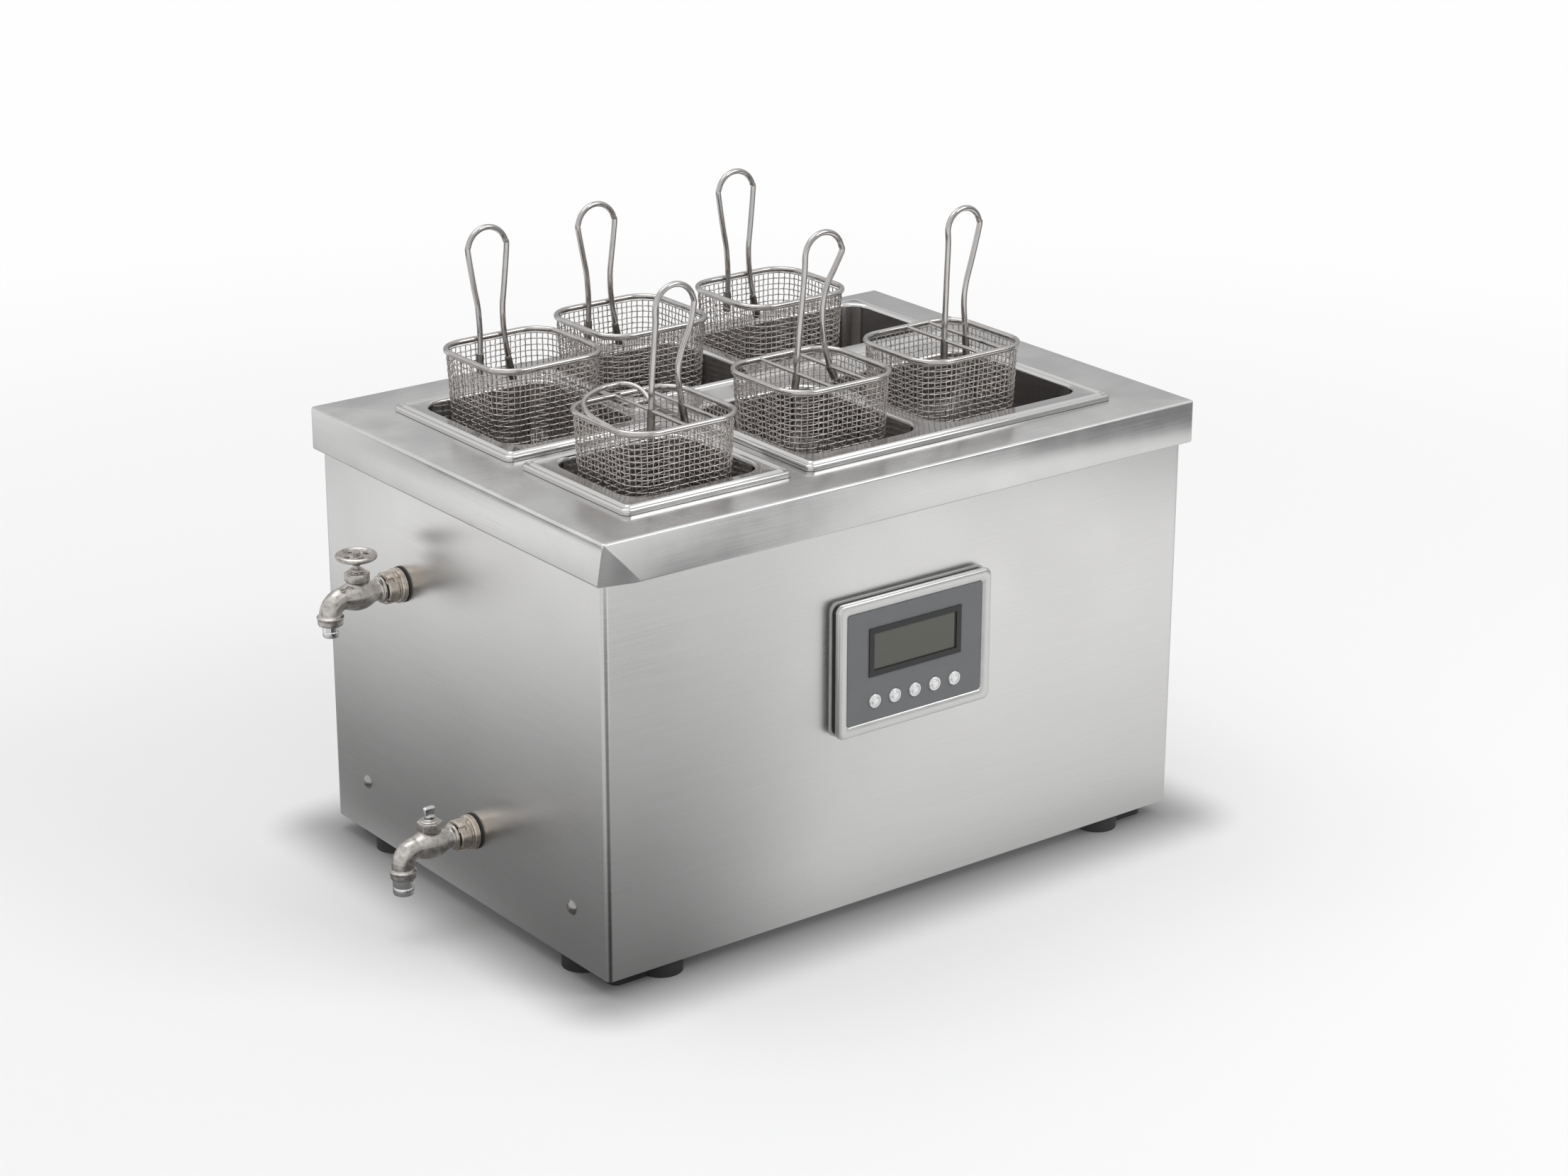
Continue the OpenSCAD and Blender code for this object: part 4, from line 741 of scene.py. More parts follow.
def along_rim(w, d, r, share):
    """Point and outward direction at a share of a rounded rectangle's length.

    The way starts in the middle of the +Y side and runs towards -X."""
    halves = (w / 2 - r, d / 2 - r)
    bend = math.pi / 2 * r
    run = share % 1.0 * 4 * (sum(halves) + bend) + halves[0]
    side = 0
    while run > 2 * halves[side % 2] + bend:
        run -= 2 * halves[side % 2] + bend
        side += 1
    nx, ny = ((0, 1), (-1, 0), (0, -1), (1, 0))[side % 4]
    half, inner = halves[side % 2], halves[1 - side % 2]
    if run <= 2 * half:
        out, on = inner + r, run - half
        return nx * out - ny * on, ny * out + nx * on, nx, ny
    angle = math.pi / 2 * (side + 1) + (run - 2 * half) / r
    cx, cy = nx * inner - ny * half, ny * inner + nx * half
    nx, ny = math.cos(angle), math.sin(angle)
    return cx + r * nx, cy + r * ny, nx, ny


class COOKER_OT_baskets(bpy.types.Operator):
    """Weaves the six baskets and bends their rims and handles"""

    bl_idname = "cooker.baskets"
    bl_label = "Build baskets"

    foot: bpy.props.FloatProperty(
        name="Foot radius", description="Radius of the mesh's lower edge",
        default=0.009, unit="LENGTH", subtype="DISTANCE")

    def execute(self, context):
        for number in HANDLES:
            self.weave(number)
            self.rods(number)
        return {"FINISHED"}

    def section(self, size, t):
        """Width, depth, corner and level of the mesh at t, from 0 at the rim to 1 at the foot."""
        baskets = settings().baskets
        w, d, height = size
        inset = baskets.taper * t
        drop = height * t
        over = drop - (height - self.foot)
        if over > 0:
            inset += self.foot * (1 - math.sqrt(max(0.0, 1 - (over / self.foot) ** 2))) * 0.5
        corner = baskets.corner - baskets.rod - inset
        return w - 2 * inset, d - 2 * inset, corner, drop

    def stray(self, i, j, seed):
        """How far the crossing of wires i and j lies off the even grid, from -1 to 1."""
        slow = (math.sin(i * 0.41 + j * 0.23 + seed) + math.sin(i * 0.17 - j * 0.52 + seed * 2.3)
                + math.sin(i * 0.83 + seed * 1.3) * 0.5)
        return slow * 0.32 + 0.2 * math.sin(i * 12.9 + j * 78.2 + seed * 37.7)

    def weave(self, number):
        """The mesh: rings and uprights that cross over and under, and the floor's wires."""
        baskets = settings().baskets
        node = f"basket_{number}_mesh"
        low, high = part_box(node)
        wire = baskets.wire
        size = (high.x - low.x - wire, high.y - low.y - wire, high.z - low.z - wire * 2)
        middle = middle_of(low, high)
        top = high.z - wire / 2
        length = 2 * (size[0] + size[1]) - (8 - 2 * math.pi) * (baskets.corner - baskets.rod)
        uprights = 2 * round(length / baskets.pitch / 2)
        rings = round(size[2] / baskets.pitch)
        lift = wire * 0.42  # how far a wire bends round those that cross it

        def point(i, j, side):
            w, d, r, drop = self.section(size, j / rings)
            free = min(1.0, (rings - j) / 3)
            aside = baskets.sway * self.stray(i, j, number * 1.7)
            x, y, nx, ny = along_rim(w, d, r, i / uprights + aside / length)
            off = lift * side * (1 if (i + j) % 2 else -1)
            level = top - drop + baskets.sway * free * self.stray(j * 1.3, i * 0.8, number * 2.9)
            return middle[0] + x + nx * off, middle[1] + y + ny * off, min(level, top)

        splines = [([point(i, j, 1) for i in range(uprights)], True, None)
                   for j in range(rings + 1)]
        splines += [([point(i, j, -1) for j in range(rings + 1)], False, None)
                    for i in range(uprights)]
        splines += self.floor_wires(size, middle, top, lift)
        finish_piece(f"basket_{number}_weave", wires(splines, wire / 2, 6), "mesh wire",
                     f"basket_{number}", [node], crease=80)

    def floor_wires(self, size, middle, top, lift):
        """The floor's wires, both ways, each as long as the floor's outline lets it be."""
        pitch = settings().baskets.pitch
        w, d, r, drop = self.section(size, 1.0)
        splines = []
        for axis, span, across in ((0, w, d), (1, d, w)):
            count = int(across / pitch)
            for k in range(1, count):
                place = -across / 2 + across * k / count
                reach = span / 2
                near = abs(place) - (across / 2 - r)
                if near > 0:
                    reach = span / 2 - r + math.sqrt(max(0.0, r * r - near * near))
                steps = max(2, int(2 * reach / pitch))
                points = []
                for s in range(steps + 1):
                    run = -reach + 2 * reach * s / steps
                    x, y = (run, place) if axis == 0 else (place, run)
                    bump = lift if (s + k + axis) % 2 else -lift
                    points.append((middle[0] + x, middle[1] + y, top - drop + bump))
                splines.append((points, False, None))
        return splines

    def rods(self, number):
        """The rim, the handle with its sleeves, and what else is bent from rod."""
        baskets = settings().baskets
        mesh_low, mesh_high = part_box(f"basket_{number}_mesh")
        low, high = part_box(f"basket_{number}_frame")
        rod = baskets.rod
        seat = 0.00015  # gap between the mesh and the rim rod
        middle = Vector((*middle_of(mesh_low, mesh_high), mesh_high.z + rod / 2 + seat))
        past = 0.0011  # how much deeper the rim is than the mesh, between the rod's middles
        w, d = high.x - low.x - rod, mesh_high.y - mesh_low.y + past
        rim = [(middle.x + x, middle.y + y, middle.z) for x, y, _, _ in
               (along_rim(w, d, baskets.corner - rod / 2, k / 96) for k in range(96))]
        splines = [(rim, True, None)]
        lean = 0.0
        foot = middle.copy()
        if number in FRONT_BASKETS:
            for leg in HANDLES[number][:2]:
                x = leg[1][0] / 1000
                cross = [(middle.x + x, middle.y + y, middle.z) for y in (-d / 2, d / 2)]
                splines.append((cross, False, [0.7, 0.7]))
        else:
            # The legs stand inside the mesh's back wall and lean back
            inside = 0.0013
            foot.y += (mesh_high.y - mesh_low.y) / 2 - inside - rod / 2
            lean = math.radians(2.86)
        if number == 5:
            bent = smoothed([middle + Vector(p) / 1000 for p in BENT_WIRE])
            splines.append((bent, False, [0.85] * len(bent)))
        handle, sleeves = self.handle(number, foot, lean)
        splines.append((handle, False, None))
        finish_piece(f"basket_{number}_rods", wires(splines, rod / 2, 14), "polished rod",
                     f"basket_{number}", [f"basket_{number}_frame"], crease=60)
        finish_piece(f"basket_{number}_sleeves", wires(sleeves, rod / 2, 14), "sleeve steel",
                     f"basket_{number}", [], crease=60)

    def handle(self, number, foot, lean):
        """The rod from leg to leg over the loop, and the darker sleeves on its feet."""
        left, right, middle, radius, rise = HANDLES[number]
        centre = rise - radius - settings().baskets.rod / 2 * 1000
        arc = [(middle - radius * math.cos(math.pi * k / 12),
                centre + radius * math.sin(math.pi * k / 12)) for k in range(13)]
        place = Matrix.Translation(foot) @ Matrix.Rotation(-lean, 4, "X")

        def placed(points):
            return [place @ p for p in smoothed([(x / 1000, 0, z / 1000) for x, z in points])]

        rod = placed([*left[1:], *arc, *right[:0:-1]])
        sleeves = []
        for leg in (left, right):
            points = placed([(leg[1][0], leg[1][1] + 2), *leg[1::-1]])
            last = len(points) - 1
            # A sleeve swells from the rod's width and is pinched again at its end
            sleeves.append((points, False, [1.02 + 0.3 * math.sin(1.9 * k / last)
                                            for k in range(last + 1)]))
        return rod, sleeves


def turned_up(x, z):
    """Places a shape x over a tap's middle and z from the wall, with Z turned up."""
    return Matrix.Translation((x, 0, z)) @ Matrix.Rotation(math.pi / 2, 4, "Y")


def drawn_out(bm, faces):
    """Extrudes faces and returns the new faces and vertices."""
    new = bmesh.ops.extrude_face_region(bm, geom=faces)["geom"]
    return ([g for g in new if isinstance(g, bmesh.types.BMFace)],
            [g for g in new if isinstance(g, bmesh.types.BMVert)])


class COOKER_OT_taps(bpy.types.Operator):
    """Casts and turns the two taps with their couplings, wheel and tab"""

    bl_idname = "cooker.taps"
    bl_label = "Build taps"

    voxel: bpy.props.FloatProperty(
        name="Casting detail", description="Size of the blend between the cast parts",
        default=0.0006, unit="LENGTH", subtype="DISTANCE")

    def execute(self, context):
        for name, (at, drop, nozzle, _) in TAPS.items():
            # Local Z leaves the wall and local X points up
            place = Matrix.Translation(at) @ Matrix((
                (0, 0, -1, 0), (0, 1, 0, 0), (1, 0, 0, 0), (0, 0, 0, 1)))
            self.body(name, place, drop, nozzle)
            self.coupling(name, place)
            self.bonnet(name, place)
        self.nozzles()
        self.wheel(TAPS["upper"][0])
        self.tab(TAPS["lower"][0])
        dress({"black rubber": ["tap_washers"],
               "worn nickel": ["upper_tap_spindle", "lower_tap_spindle"]})
        return {"FINISHED"}

    def body(self, name, place, drop, nozzle):
        """The casting: barrel, neck, elbow with its down leg, and the bead over the nozzle."""
        bm = bmesh.new()
        lathe(bm, [(0, 0.0125), (0.0094, 0.0125), (0.0094, 0.0198), (0.0112, 0.0200),
                   (0.0118, 0.0214), (0.0112, 0.0228), (0.0088, 0.0238), (0.0086, 0.0262),
                   (0.0096, 0.0300), (0.0116, 0.0345), (0.0128, 0.0390), (0.0131, 0.0430),
                   (0.0127, 0.0475), (0.0114, 0.0520), (0.0100, 0.0560), (0.0094, 0.0580),
                   (0, 0.0580)], place)
        lathe(bm, [(0, 0.0), (0.0085, 0.0), (0.0086, 0.0100), (0.0092, 0.0118),
                   (0.0100, 0.0124), (0, 0.0124)], place @ turned_up(0, TAP_AXIS))
        # Elbow and down leg, swept as discs
        radius, turn_radius, start = 0.0095, 0.013, 0.002
        old = set(bm.verts)
        disc = bmesh.ops.create_circle(bm, cap_ends=True, radius=radius, segments=32)["verts"]
        bmesh.ops.translate(bm, verts=disc, vec=(0, 0, TAP_REACH - turn_radius - start))
        faces, verts = drawn_out(bm, list({f for v in disc for f in v.link_faces}))
        bmesh.ops.translate(bm, verts=verts, vec=(0, 0, start))
        for _ in range(8):
            faces, verts = drawn_out(bm, faces)
            bmesh.ops.rotate(bm, verts=verts, cent=(-turn_radius, 0, TAP_REACH - turn_radius),
                             matrix=Matrix.Rotation(-math.pi / 16, 3, "Y"))
        faces, verts = drawn_out(bm, faces)
        bmesh.ops.translate(bm, verts=verts, vec=(-(drop - nozzle - turn_radius), 0, 0))
        swept = [v for v in bm.verts if v not in old]
        bmesh.ops.transform(bm, matrix=place, verts=swept)
        down = place @ turned_up(-drop + nozzle, TAP_REACH)
        lathe(bm, [(0, 0.0), (0.0098, 0.0), (0.0108, 0.0006), (0.0108, 0.0058),
                   (0.0116, 0.0063), (0.0117, 0.0074), (0.0108, 0.0080), (0.0096, 0.0086),
                   (0, 0.0086)], down)
        mesh = settled(closed_mesh(bm), [
            ("REMESH", {"mode": "VOXEL", "voxel_size": self.voxel, "use_smooth_shade": True}),
            ("SMOOTH", {"factor": 0.5, "iterations": 6})])
        bore = bmesh.new()
        lathe(bore, [(0, -0.02), (0.006, -0.02), (0.006, 0.006), (0, 0.006)], down, steps=32)
        finish_piece(f"{name}_tap_casting", cut_away(mesh, bore), "worn nickel", "housing",
                     [f"{name}_tap_body"], crease=50)

    def coupling(self, name, place):
        """The union nut by the wall, with four slots in its front."""
        bm = bmesh.new()
        lathe(bm, [(0.0086, 0.0015), (0.0142, 0.0015), (0.0150, 0.0022), (0.0150, 0.0064),
                   (0.0143, 0.0073), (0.0128, 0.0075), (0.0124, 0.0080), (0.0124, 0.0092),
                   (0.0130, 0.0096), (0.0136, 0.0102), (0.0137, 0.0150), (0.0136, 0.0184),
                   (0.0130, 0.0193), (0.0102, 0.0195), (0.0099, 0.0190), (0.0099, 0.0120),
                   (0.0086, 0.0118), (0.0086, 0.0015)], place, steps=64)
        slots = bmesh.new()
        for k in range(4):
            slot = bmesh.ops.create_cube(slots, size=1.0)["verts"]
            shape = (place @ Matrix.Rotation(math.pi / 2 * k + math.pi / 4, 4, "Z")
                     @ Matrix.Translation((0.0140, 0, 0.0170))
                     @ Matrix.Diagonal((0.0064, 0.0035, 0.0080, 1)))
            bmesh.ops.transform(slots, matrix=shape, verts=slot)
        finish_piece(f"{name}_tap_ring", cut_away(closed_mesh(bm), slots, bevel_over=40),
                     "warm nickel", "housing", [f"{name}_tap_coupling"], crease=30)

    def bonnet(self, name, place):
        """The hexagon on the neck, with the gland that the spindle comes out of."""
        up = place @ turned_up(0.0125, TAP_AXIS)
        bm = bmesh.new()
        nut = bmesh.ops.create_cone(bm, cap_ends=True, cap_tris=False, segments=6,
                                    radius1=0.0108, radius2=0.0108, depth=0.0078)["verts"]
        bmesh.ops.translate(bm, verts=nut, vec=(0, 0, 0.0040))
        bmesh.ops.bevel(bm, geom=bm.edges[:], offset=0.0006, offset_type="OFFSET", segments=3,
                        profile=0.5, affect="EDGES", material=-1)
        bmesh.ops.transform(bm, matrix=up, verts=bm.verts)
        lathe(bm, [(0.0032, 0.0070), (0.0078, 0.0070), (0.0078, 0.0084), (0.0072, 0.0090),
                   (0.0060, 0.0093), (0.0057, 0.0104), (0.0050, 0.0109), (0.0032, 0.0109),
                   (0.0032, 0.0070)], up)
        finish_piece(f"{name}_tap_cap", closed_mesh(bm), "worn nickel", "housing",
                     [f"{name}_tap_bonnet"])

    def nozzles(self):
        """Both taps' turned nozzles, which open downwards."""
        bm = bmesh.new()
        bore = 0.0060
        for at, drop, n, r in TAPS.values():
            down = Matrix.Translation((at.x - TAP_REACH, at.y, at.z - drop))
            lathe(bm, [(bore, n), (bore, 0.0004), (bore + 0.0003, 0.0), (r - 0.0010, 0.0),
                       (r - 0.0003, 0.0004), (r, 0.0012), (r, n * 0.45), (r - 0.0004, n * 0.5),
                       (r, n * 0.55), (r, n), (bore, n)], down)
        finish_piece("tap_outlets", closed_mesh(bm), "bright chrome", "housing", ["tap_nozzles"])

    def wheel(self, at):
        """The dished handwheel with its four holes."""
        axis = Matrix.Translation((at.x - TAP_AXIS, at.y, at.z))
        bm = bmesh.new()
        lathe(bm, [(0.0031, 0.0276), (0.0046, 0.0274), (0.0058, 0.0284), (0.0076, 0.0302),
                   (0.0104, 0.0318), (0.0130, 0.0325), (0.0148, 0.0322), (0.0162, 0.0324),
                   (0.0173, 0.0332), (0.0177, 0.0345), (0.0173, 0.0359), (0.0162, 0.0367),
                   (0.0148, 0.0368), (0.0136, 0.0360), (0.0128, 0.0350), (0.0112, 0.0347),
                   (0.0070, 0.0350), (0.0052, 0.0356), (0.0031, 0.0357), (0.0031, 0.0276)],
              axis, steps=64)
        drills = bmesh.new()
        for k in range(4):
            bmesh.ops.create_cone(
                drills, cap_ends=True, cap_tris=False, segments=24, radius1=0.0026,
                radius2=0.0026, depth=0.02, matrix=axis @ Matrix.Rotation(math.pi / 2 * k, 4, "Z")
                @ Matrix.Translation((0.0090, 0, 0.0330)))
        finish_piece("upper_tap_wheel", cut_away(closed_mesh(bm), drills, bevel_over=45),
                     "worn nickel", "upper_wheel", ["upper_tap_handwheel"], crease=35)

    def tab(self, at):
        """The lower tap's short tab on its round foot."""
        foot_level = 0.0238
        axis = Matrix.Translation((at.x - TAP_AXIS, at.y, at.z + foot_level))
        bm = bmesh.new()
        lathe(bm, [(0, 0.0), (0.0042, 0.0), (0.0046, 0.0004), (0.0046, 0.0018),
                   (0.0040, 0.0024), (0, 0.0025)], axis)
        old = set(bm.verts)
        blade = bmesh.ops.create_cube(bm, size=1.0)["verts"]
        bmesh.ops.scale(bm, verts=blade, vec=(0.0105, 0.0046, 0.0084))
        bmesh.ops.translate(bm, verts=blade, vec=(0, 0, 0.0055))
        bmesh.ops.bevel(bm, geom=edges_of(blade), offset=0.0017, offset_type="OFFSET",
                        segments=5, profile=0.5, affect="EDGES", material=-1)
        bmesh.ops.transform(bm, matrix=axis, verts=[v for v in bm.verts if v not in old])
        finish_piece("lower_tap_tab", closed_mesh(bm), "bright chrome", "lower_handle",
                     ["lower_tap_handle"])


def facing_front(low, high, y):
    """Places a shape at a box's middle and at y, with Z turned towards the front."""
    middle = Vector(((low.x + high.x) / 2, y, (low.z + high.z) / 2))
    return Matrix.Translation(middle) @ Matrix.Rotation(math.pi / 2, 4, "X")


class COOKER_OT_panel(bpy.types.Operator):
    """Moulds the control panel's bezel and buttons"""

    bl_idname = "cooker.panel"
    bl_label = "Build control panel"

    def execute(self, context):
        low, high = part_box("control_bezel")
        w, h = high.x - low.x, high.z - low.z
        bm = bmesh.new()
        # Distance in from the edge and height over the wall, round the bezel's section
        back, front = 0.0077, 0.0122
        profile = [(0.0, back), (0.0, front - 0.0022), (0.0004, front - 0.0011),
                   (0.0013, front - 0.0003), (0.0028, front), (0.0055, front - 0.0001),
                   (0.0080, front - 0.0005), (0.0094, front - 0.0011), (0.0100, front - 0.0018),
                   (0.0100, back)]
        loops = [rounded_loop(bm, w - 2 * i, h - 2 * i, max(0.007 - i * 0.45, 0.0028), z)
                 for i, z in profile]
        loft(bm, loops + [loops[0]])
        bmesh.ops.transform(bm, matrix=facing_front(low, high, WALL_LOW.y), verts=bm.verts)
        finish_piece("panel_frame", closed_mesh(bm), "silver lacquer", "housing",
                     ["control_bezel"], crease=50)
        for number in range(1, 6):
            self.button(number)
        dress({"black plastic": ["control_case", "display_frame"],
               "grey rubber": ["control_gasket"], "panel grey": ["face_plate"],
               "unlit display": ["display_window"], "board green": ["control_board"]})
        return {"FINISHED"}

    def button(self, number):
        """A round cap in a sunk ring, on the stem that meets its switch."""
        node = f"button_{number}"
        low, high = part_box(node)
        depth = high.y - low.y
        bm = bmesh.new()
        lathe(bm, [(0, -depth), (0.0016, -depth), (0.0016, -0.0049), (0.0072, -0.0049),
                   (0.0072, -0.0040), (0.0061, -0.0038), (0.0061, -0.0010), (0.0058, -0.0004),
                   (0.0052, -0.0001), (0.0046, -0.0003), (0.0043, -0.0011), (0.0038, -0.0011),
                   (0.0035, -0.0004), (0.0030, -0.0001), (0.0015, 0.0), (0, 0.0)],
              facing_front(low, high, low.y))
        finish_piece(f"push_button_{number}", closed_mesh(bm), "button silver", f"{node}_body",
                     [node], crease=50)


class COOKER_OT_casing(bpy.types.Operator):
    """Gives the casing, tank, fittings, screws and feet their finishes"""

    bl_idname = "cooker.casing"
    bl_label = "Finish casing and inside"

    def execute(self, context):
        dress({"casing steel": ["wrap_panel", "rear_panel"],
               "inner steel": ["base_tray", "water_tank", "temperature_probe"],
               "element sheath": ["element_front", "element_rear"],
               "brass fitting": ["element_nuts", "draw_off_pipe", "drain_pipe"],
               "cream plastic": ["safety_thermostat", "terminal_block"],
               "black plastic": ["cable_gland"], "dark plastic": ["power_relay"],
               "screw steel": ["panel_screws"],
               "black rubber": ["foot_front_left", "foot_front_right", "foot_rear_left",
                                "foot_rear_right"]})
        return {"FINISHED"}


class COOKER_OT_stage(bpy.types.Operator):
    """Sets up the floor, the light and the camera"""

    bl_idname = "cooker.stage"
    bl_label = "Build stage"

    def execute(self, context):
        scene = context.scene
        scene.view_settings.view_transform = "Standard"
        self.floor()
        self.world(scene)
        self.lamps(scene)
        self.camera(scene)
        return {"FINISHED"}

    def floor(self):
        """A pale disc, darker by the casing's foot in a painted contact shadow, white far off
        from the camera, and with a glow of painted reflections that only metal sees.
        """
        bm = bmesh.new()
        bmesh.ops.create_circle(bm, cap_ends=True, radius=14.0, segments=96)
        mesh = mesh_from(bm)
        floor = bpy.data.objects.new("floor", mesh)
        bpy.context.scene.collection.objects.link(floor)
        material, tree, shader = new_finish("studio floor")
        mesh.materials.append(material)
        shader.inputs["Roughness"].default_value = 0.75
        shader.inputs["Specular IOR Level"].default_value = 0.1
        place = add(tree, "ShaderNodeTexCoord").outputs["Object"]
        rays = add(tree, "ShaderNodeLightPath")
        # Distance from the casing's foot, and a painted contact shadow: a darker floor close to
        # it
        centre, half = (WALL_LOW + WALL_HIGH) / 2, (WALL_HIGH - WALL_LOW) / 2
        apart = vectors(tree, "ABSOLUTE",
                        vectors(tree, "SUBTRACT", place, (centre.x, centre.y, 0)))
        outside = vectors(tree, "SUBTRACT", apart, (half.x, half.y, 0))
        gap = vectors(tree, "LENGTH", vectors(tree, "MAXIMUM", outside, (0, 0, 0)))
        tree.links.new(tinted(tree, ramped(tree, gap, 0.0, 0.075), (0.42, 0.42, 0.42),
                              (0.93, 0.93, 0.935)), shader.inputs["Base Color"])
        # White far off for the camera, shaded near the object
        length = vectors(tree, "LENGTH", place)
        seen = maths(tree, "MULTIPLY", ramped(tree, length, 0.6, 2.2),
                     rays.outputs["Is Camera Ray"])
        white = add(tree, "ShaderNodeEmission", [("Color", (1, 1, 1, 1)), ("Strength", 0.99)])
        shown = add(tree, "ShaderNodeMixShader",
                    [(0, seen), (1, shader.outputs[0]), (2, white.outputs[0])])
        # A glow that only glossy rays see, with painted reflections of light and shade for the
        # metal
        mirror = add(tree, "ShaderNodeEmission",
                     [("Strength", self.mirrored(tree, place, length, gap))])
        final = add(tree, "ShaderNodeMixShader",
                    [(0, rays.outputs["Is Glossy Ray"]), (1, shown.outputs[0]),
                     (2, mirror.outputs[0])])
        tree.links.new(final.outputs[0], tree.nodes["Material Output"].inputs["Surface"])

    def mirrored(self, tree, place, length, gap):
        """How bright the floor glows to metal, as painted reflections, from its distance to the
        middle and to the casing.
        """
        parts = add(tree, "ShaderNodeSeparateXYZ", [(0, place)])
        x, y = parts.outputs["X"], parts.outputs["Y"]
        # Beside the left wall the glow darkens towards the foot, and less so at the wall's far
        # end: painted shade that the left wall mirrors
        beside = maths(tree, "MULTIPLY", ramped(tree, x, -0.25, -0.32, smooth=False),
                       ramped(tree, y, -0.5, -0.3, smooth=False))
        left = maths(tree, "MULTIPLY", ramped(tree, x, -0.86, -0.34, 0.95, 0.26),
                     ramped(tree, y, 0.1, 0.8, 0.8, 1.35, smooth=False))
        # Before the front wall the glow is brighter, but for a slanting strip at the wall's left
        # end: painted light and a painted dark streak that the front wall mirrors
        slant = maths(tree, "ADD", maths(tree, "MULTIPLY_ADD", y, 0.763, x), 0.445)
        strip = ramped(tree, maths(tree, "ABSOLUTE", slant), 0.05, 0.26, 0.34, 1.0)
        front = maths(tree, "MULTIPLY", ramped(tree, y, -0.24, -0.9, 0.72, 1.2, smooth=False),
                      strip)
        level = add(tree, "ShaderNodeMix", [(0, beside), (2, front), (3, left)],
                    data_type="FLOAT").outputs[0]
        # A painted dark band far off to each side of the view draws the painted dark reflections
        # along the rods
        aside = vectors(tree, "DOT_PRODUCT", vectors(tree, "NORMALIZE", place), VIEW_RIGHT)
        painted_dark_band = maths(tree, "MULTIPLY",
                     ramped(tree, maths(tree, "ABSOLUTE", aside), 0.92, 0.97),
                     ramped(tree, length, 1.35, 1.5, 0.0, 0.8))
        # A painted dark fan before the front left corner, which the upright bend mirrors as a
        # painted dark reflection
        aim = vectors(tree, "SUBTRACT", place, (WALL_LOW.x, WALL_LOW.y, 0))
        ways = add(tree, "ShaderNodeSeparateXYZ", [(0, aim)])
        left_way, front_way = (maths(tree, "MULTIPLY", ways.outputs[key], -1.0)
                               for key in ("X", "Y"))
        angle = maths(tree, "ARCTAN2", left_way, front_way)
        turned = maths(tree, "ABSOLUTE", maths(tree, "SUBTRACT", angle, math.radians(23)))
        fan = maths(tree, "MULTIPLY",
                    ramped(tree, turned, math.radians(29), math.radians(38), 1.0, 0.0),
                    ramped(tree, vectors(tree, "LENGTH", aim), 0.9, 1.15, 0.9, 0.0))
        for dark in (painted_dark_band, fan):
            level = maths(tree, "MULTIPLY", level, maths(tree, "SUBTRACT", 1.0, dark))
        # Painted contact shade: the glow is darker close to the casing's foot, for the metal to
        # mirror
        return maths(tree, "MULTIPLY", level,
                     ramped(tree, gap, 0.0, 0.1, 0.7, 1.0, smooth=False))

    def world(self, scene):
        """Even light from all round, and a grey horizon under a white sky for metal."""
        world = bpy.data.worlds.new("studio")
        scene.world = world
        world.use_nodes = True
        tree = world.node_tree
        back = tree.nodes["Background"]
        direction = add(tree, "ShaderNodeTexCoord").outputs["Generated"]
        parts = add(tree, "ShaderNodeSeparateXYZ", [(0, direction)])
        ramp = add(tree, "ShaderNodeValToRGB", [("Fac", parts.outputs["Z"])])
        stops = ramp.color_ramp.elements
        stops[0].position, stops[0].color = 0.0, (0.42, 0.425, 0.43, 1)
        stops[1].position, stops[1].color = 1.0, (1, 1, 1, 1)
        for position, shade in ((0.35, 0.6), (0.65, 0.95)):
            stops.new(position).color = (shade, shade, shade, 1)
        # Metal sees a brighter wall to the left, which lights the deck's left fold
        white = (1, 1, 1, 1)
        aside = ramped(tree, parts.outputs["X"], -0.05, -0.35)
        seen = add(tree, "ShaderNodeMix", [(0, aside), (6, ramp.outputs["Color"]), (7, white)],
                   data_type="RGBA")
        rays = add(tree, "ShaderNodeLightPath")
        camera, glossy = rays.outputs["Is Camera Ray"], rays.outputs["Is Glossy Ray"]
        gloss = add(tree, "ShaderNodeMix", [(0, glossy), (6, white), (7, seen.outputs[2])],
                    data_type="RGBA")
        tree.links.new(gloss.outputs[2], back.inputs["Color"])
        strength = add(tree, "ShaderNodeMix",
                       [(0, maths(tree, "MAXIMUM", camera, glossy)),
                        (2, settings().stage.sky), (3, 1.0)], data_type="FLOAT")
        tree.links.new(strength.outputs[0], back.inputs["Strength"])

    def lamps(self, scene):
        """A key light from the front right and a top light from behind."""
        for name, place, target, size, power in (
            ("key", (1.4, -2.2, 2.4), (0, 0, 0.2), 1.6, 26),
            ("top", (-0.3, 0.6, 2.6), (0, 0, 0.3), 1.8, 16),
        ):
            lamp = bpy.data.lights.new(name, "AREA")
            lamp.shape = "SQUARE"
            lamp.size = size
            lamp.energy = power
            holder = bpy.data.objects.new(name, lamp)
            scene.collection.objects.link(holder)
            holder.location = place
            aim = Vector(target) - Vector(place)
            holder.rotation_euler = aim.to_track_quat("-Z", "Y").to_euler()

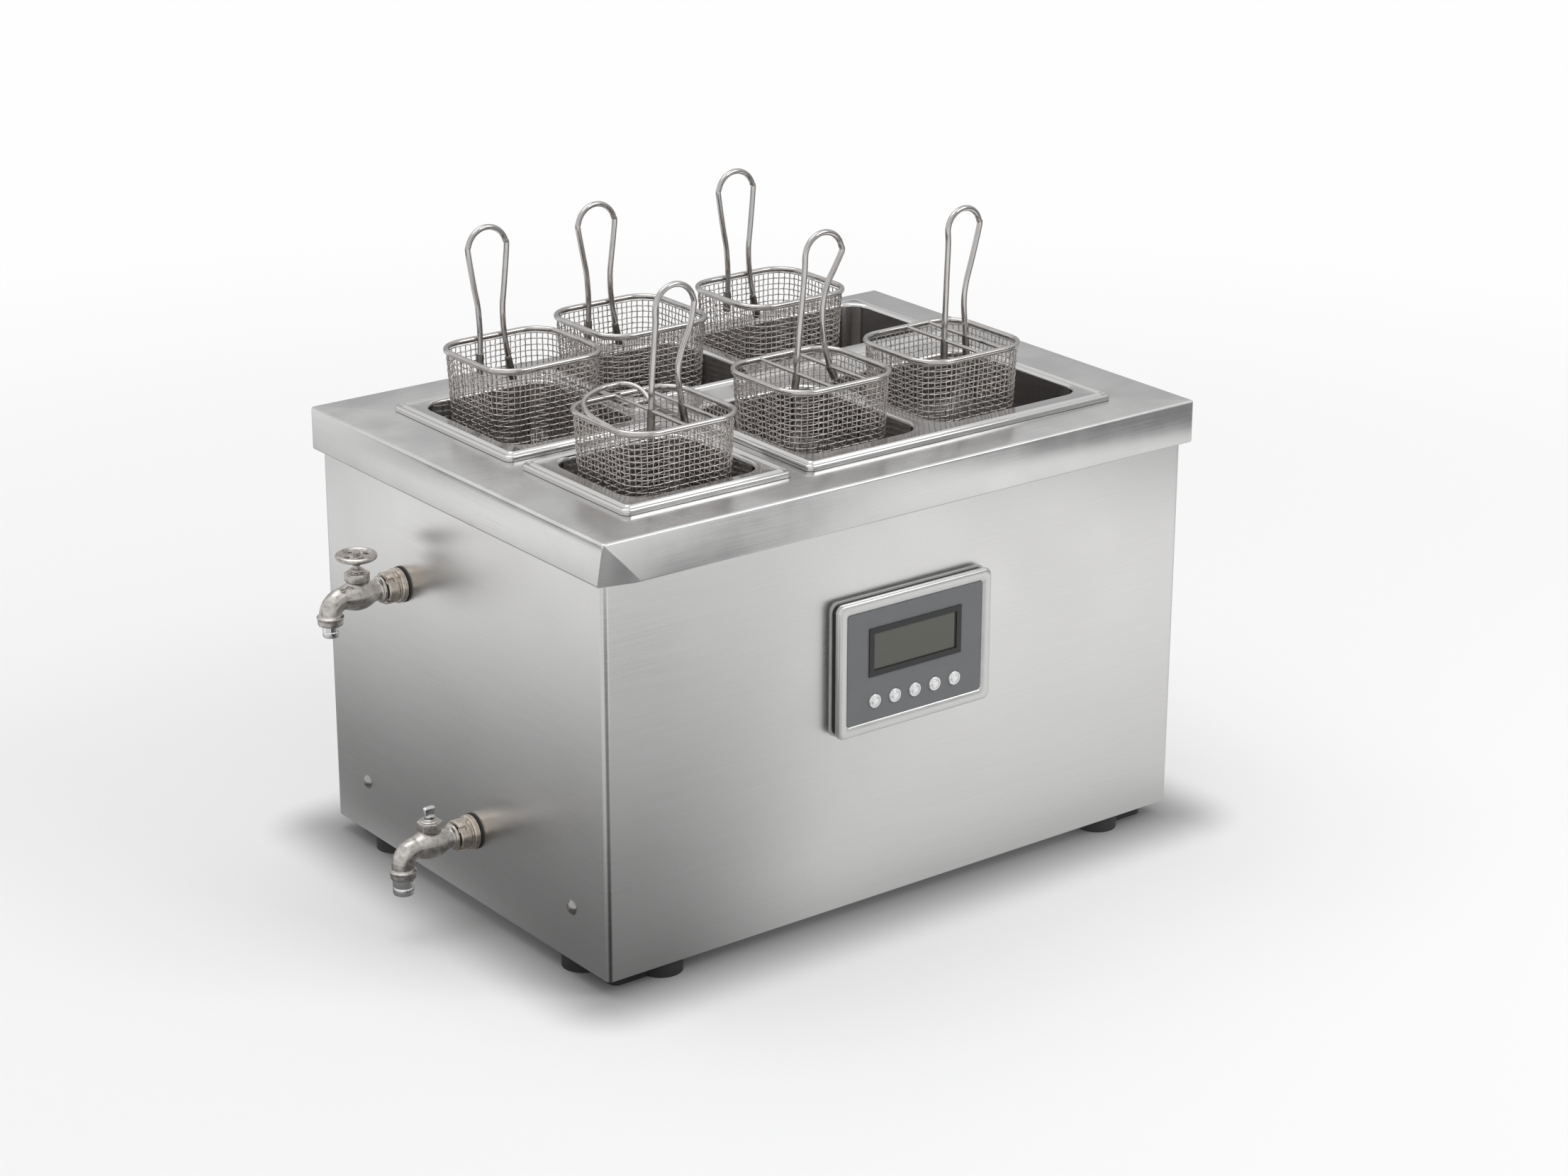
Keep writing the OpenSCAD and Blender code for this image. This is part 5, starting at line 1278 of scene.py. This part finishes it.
    def camera(self, scene):
        """The camera, from its place, its view's angles and its roll."""
        stage = settings().stage
        view = Vector((math.sin(stage.azimuth) * math.cos(stage.elevation),
                       math.cos(stage.azimuth) * math.cos(stage.elevation),
                       -math.sin(stage.elevation)))
        right = view.cross(Vector((0, 0, 1))).normalized()
        up = right.cross(view)
        c, s = math.cos(stage.roll), math.sin(stage.roll)
        right, up = right * c + up * s, up * c - right * s
        camera = bpy.data.cameras.new("camera")
        camera.sensor_width = 36.0
        camera.lens = stage.lens
        camera.clip_end = 100
        holder = bpy.data.objects.new("camera", camera)
        scene.collection.objects.link(holder)
        holder.matrix_world = Matrix((
            (right.x, up.x, -view.x, stage.place[0]),
            (right.y, up.y, -view.y, stage.place[1]),
            (right.z, up.z, -view.z, stage.place[2]),
            (0, 0, 0, 1)))
        scene.camera = holder


class COOKER_PT_sidebar(bpy.types.Panel):
    """Lists the cooker's settings and build steps"""

    bl_idname = "COOKER_PT_sidebar"
    bl_label = "Pasta cooker"
    bl_space_type = "VIEW_3D"
    bl_region_type = "UI"
    bl_category = "Pasta cooker"

    def draw(self, context):
        for group in ("pans", "baskets", "finish", "stage"):
            box = self.layout.box()
            box.label(text=group.capitalize())
            values = getattr(settings(), group)
            for key in values.__annotations__:
                box.prop(values, key)
        for step in STEPS:
            self.layout.operator(step)


STEPS = ("cooker.casing", "cooker.deck", "cooker.pans", "cooker.baskets", "cooker.taps",
         "cooker.panel", "cooker.stage")
CLASSES = (CookerPans, CookerBaskets, CookerFinish, CookerStage, CookerSettings,
           COOKER_OT_deck, COOKER_OT_pans, COOKER_OT_baskets, COOKER_OT_taps,
           COOKER_OT_panel, COOKER_OT_casing, COOKER_OT_stage, COOKER_PT_sidebar)


def register():
    for cls in CLASSES:
        bpy.utils.register_class(cls)
    bpy.types.Scene.pasta_cooker = bpy.props.PointerProperty(type=CookerSettings)


def unregister():
    del bpy.types.Scene.pasta_cooker
    for cls in reversed(CLASSES):
        bpy.utils.unregister_class(cls)


def main():
    """Builds every part and the stage."""
    register()
    make_finishes()
    for step in STEPS:
        group, name = step.split(".")
        getattr(getattr(bpy.ops, group), name)()
    bpy.context.view_layer.update()


if __name__ == "__main__":
    main()
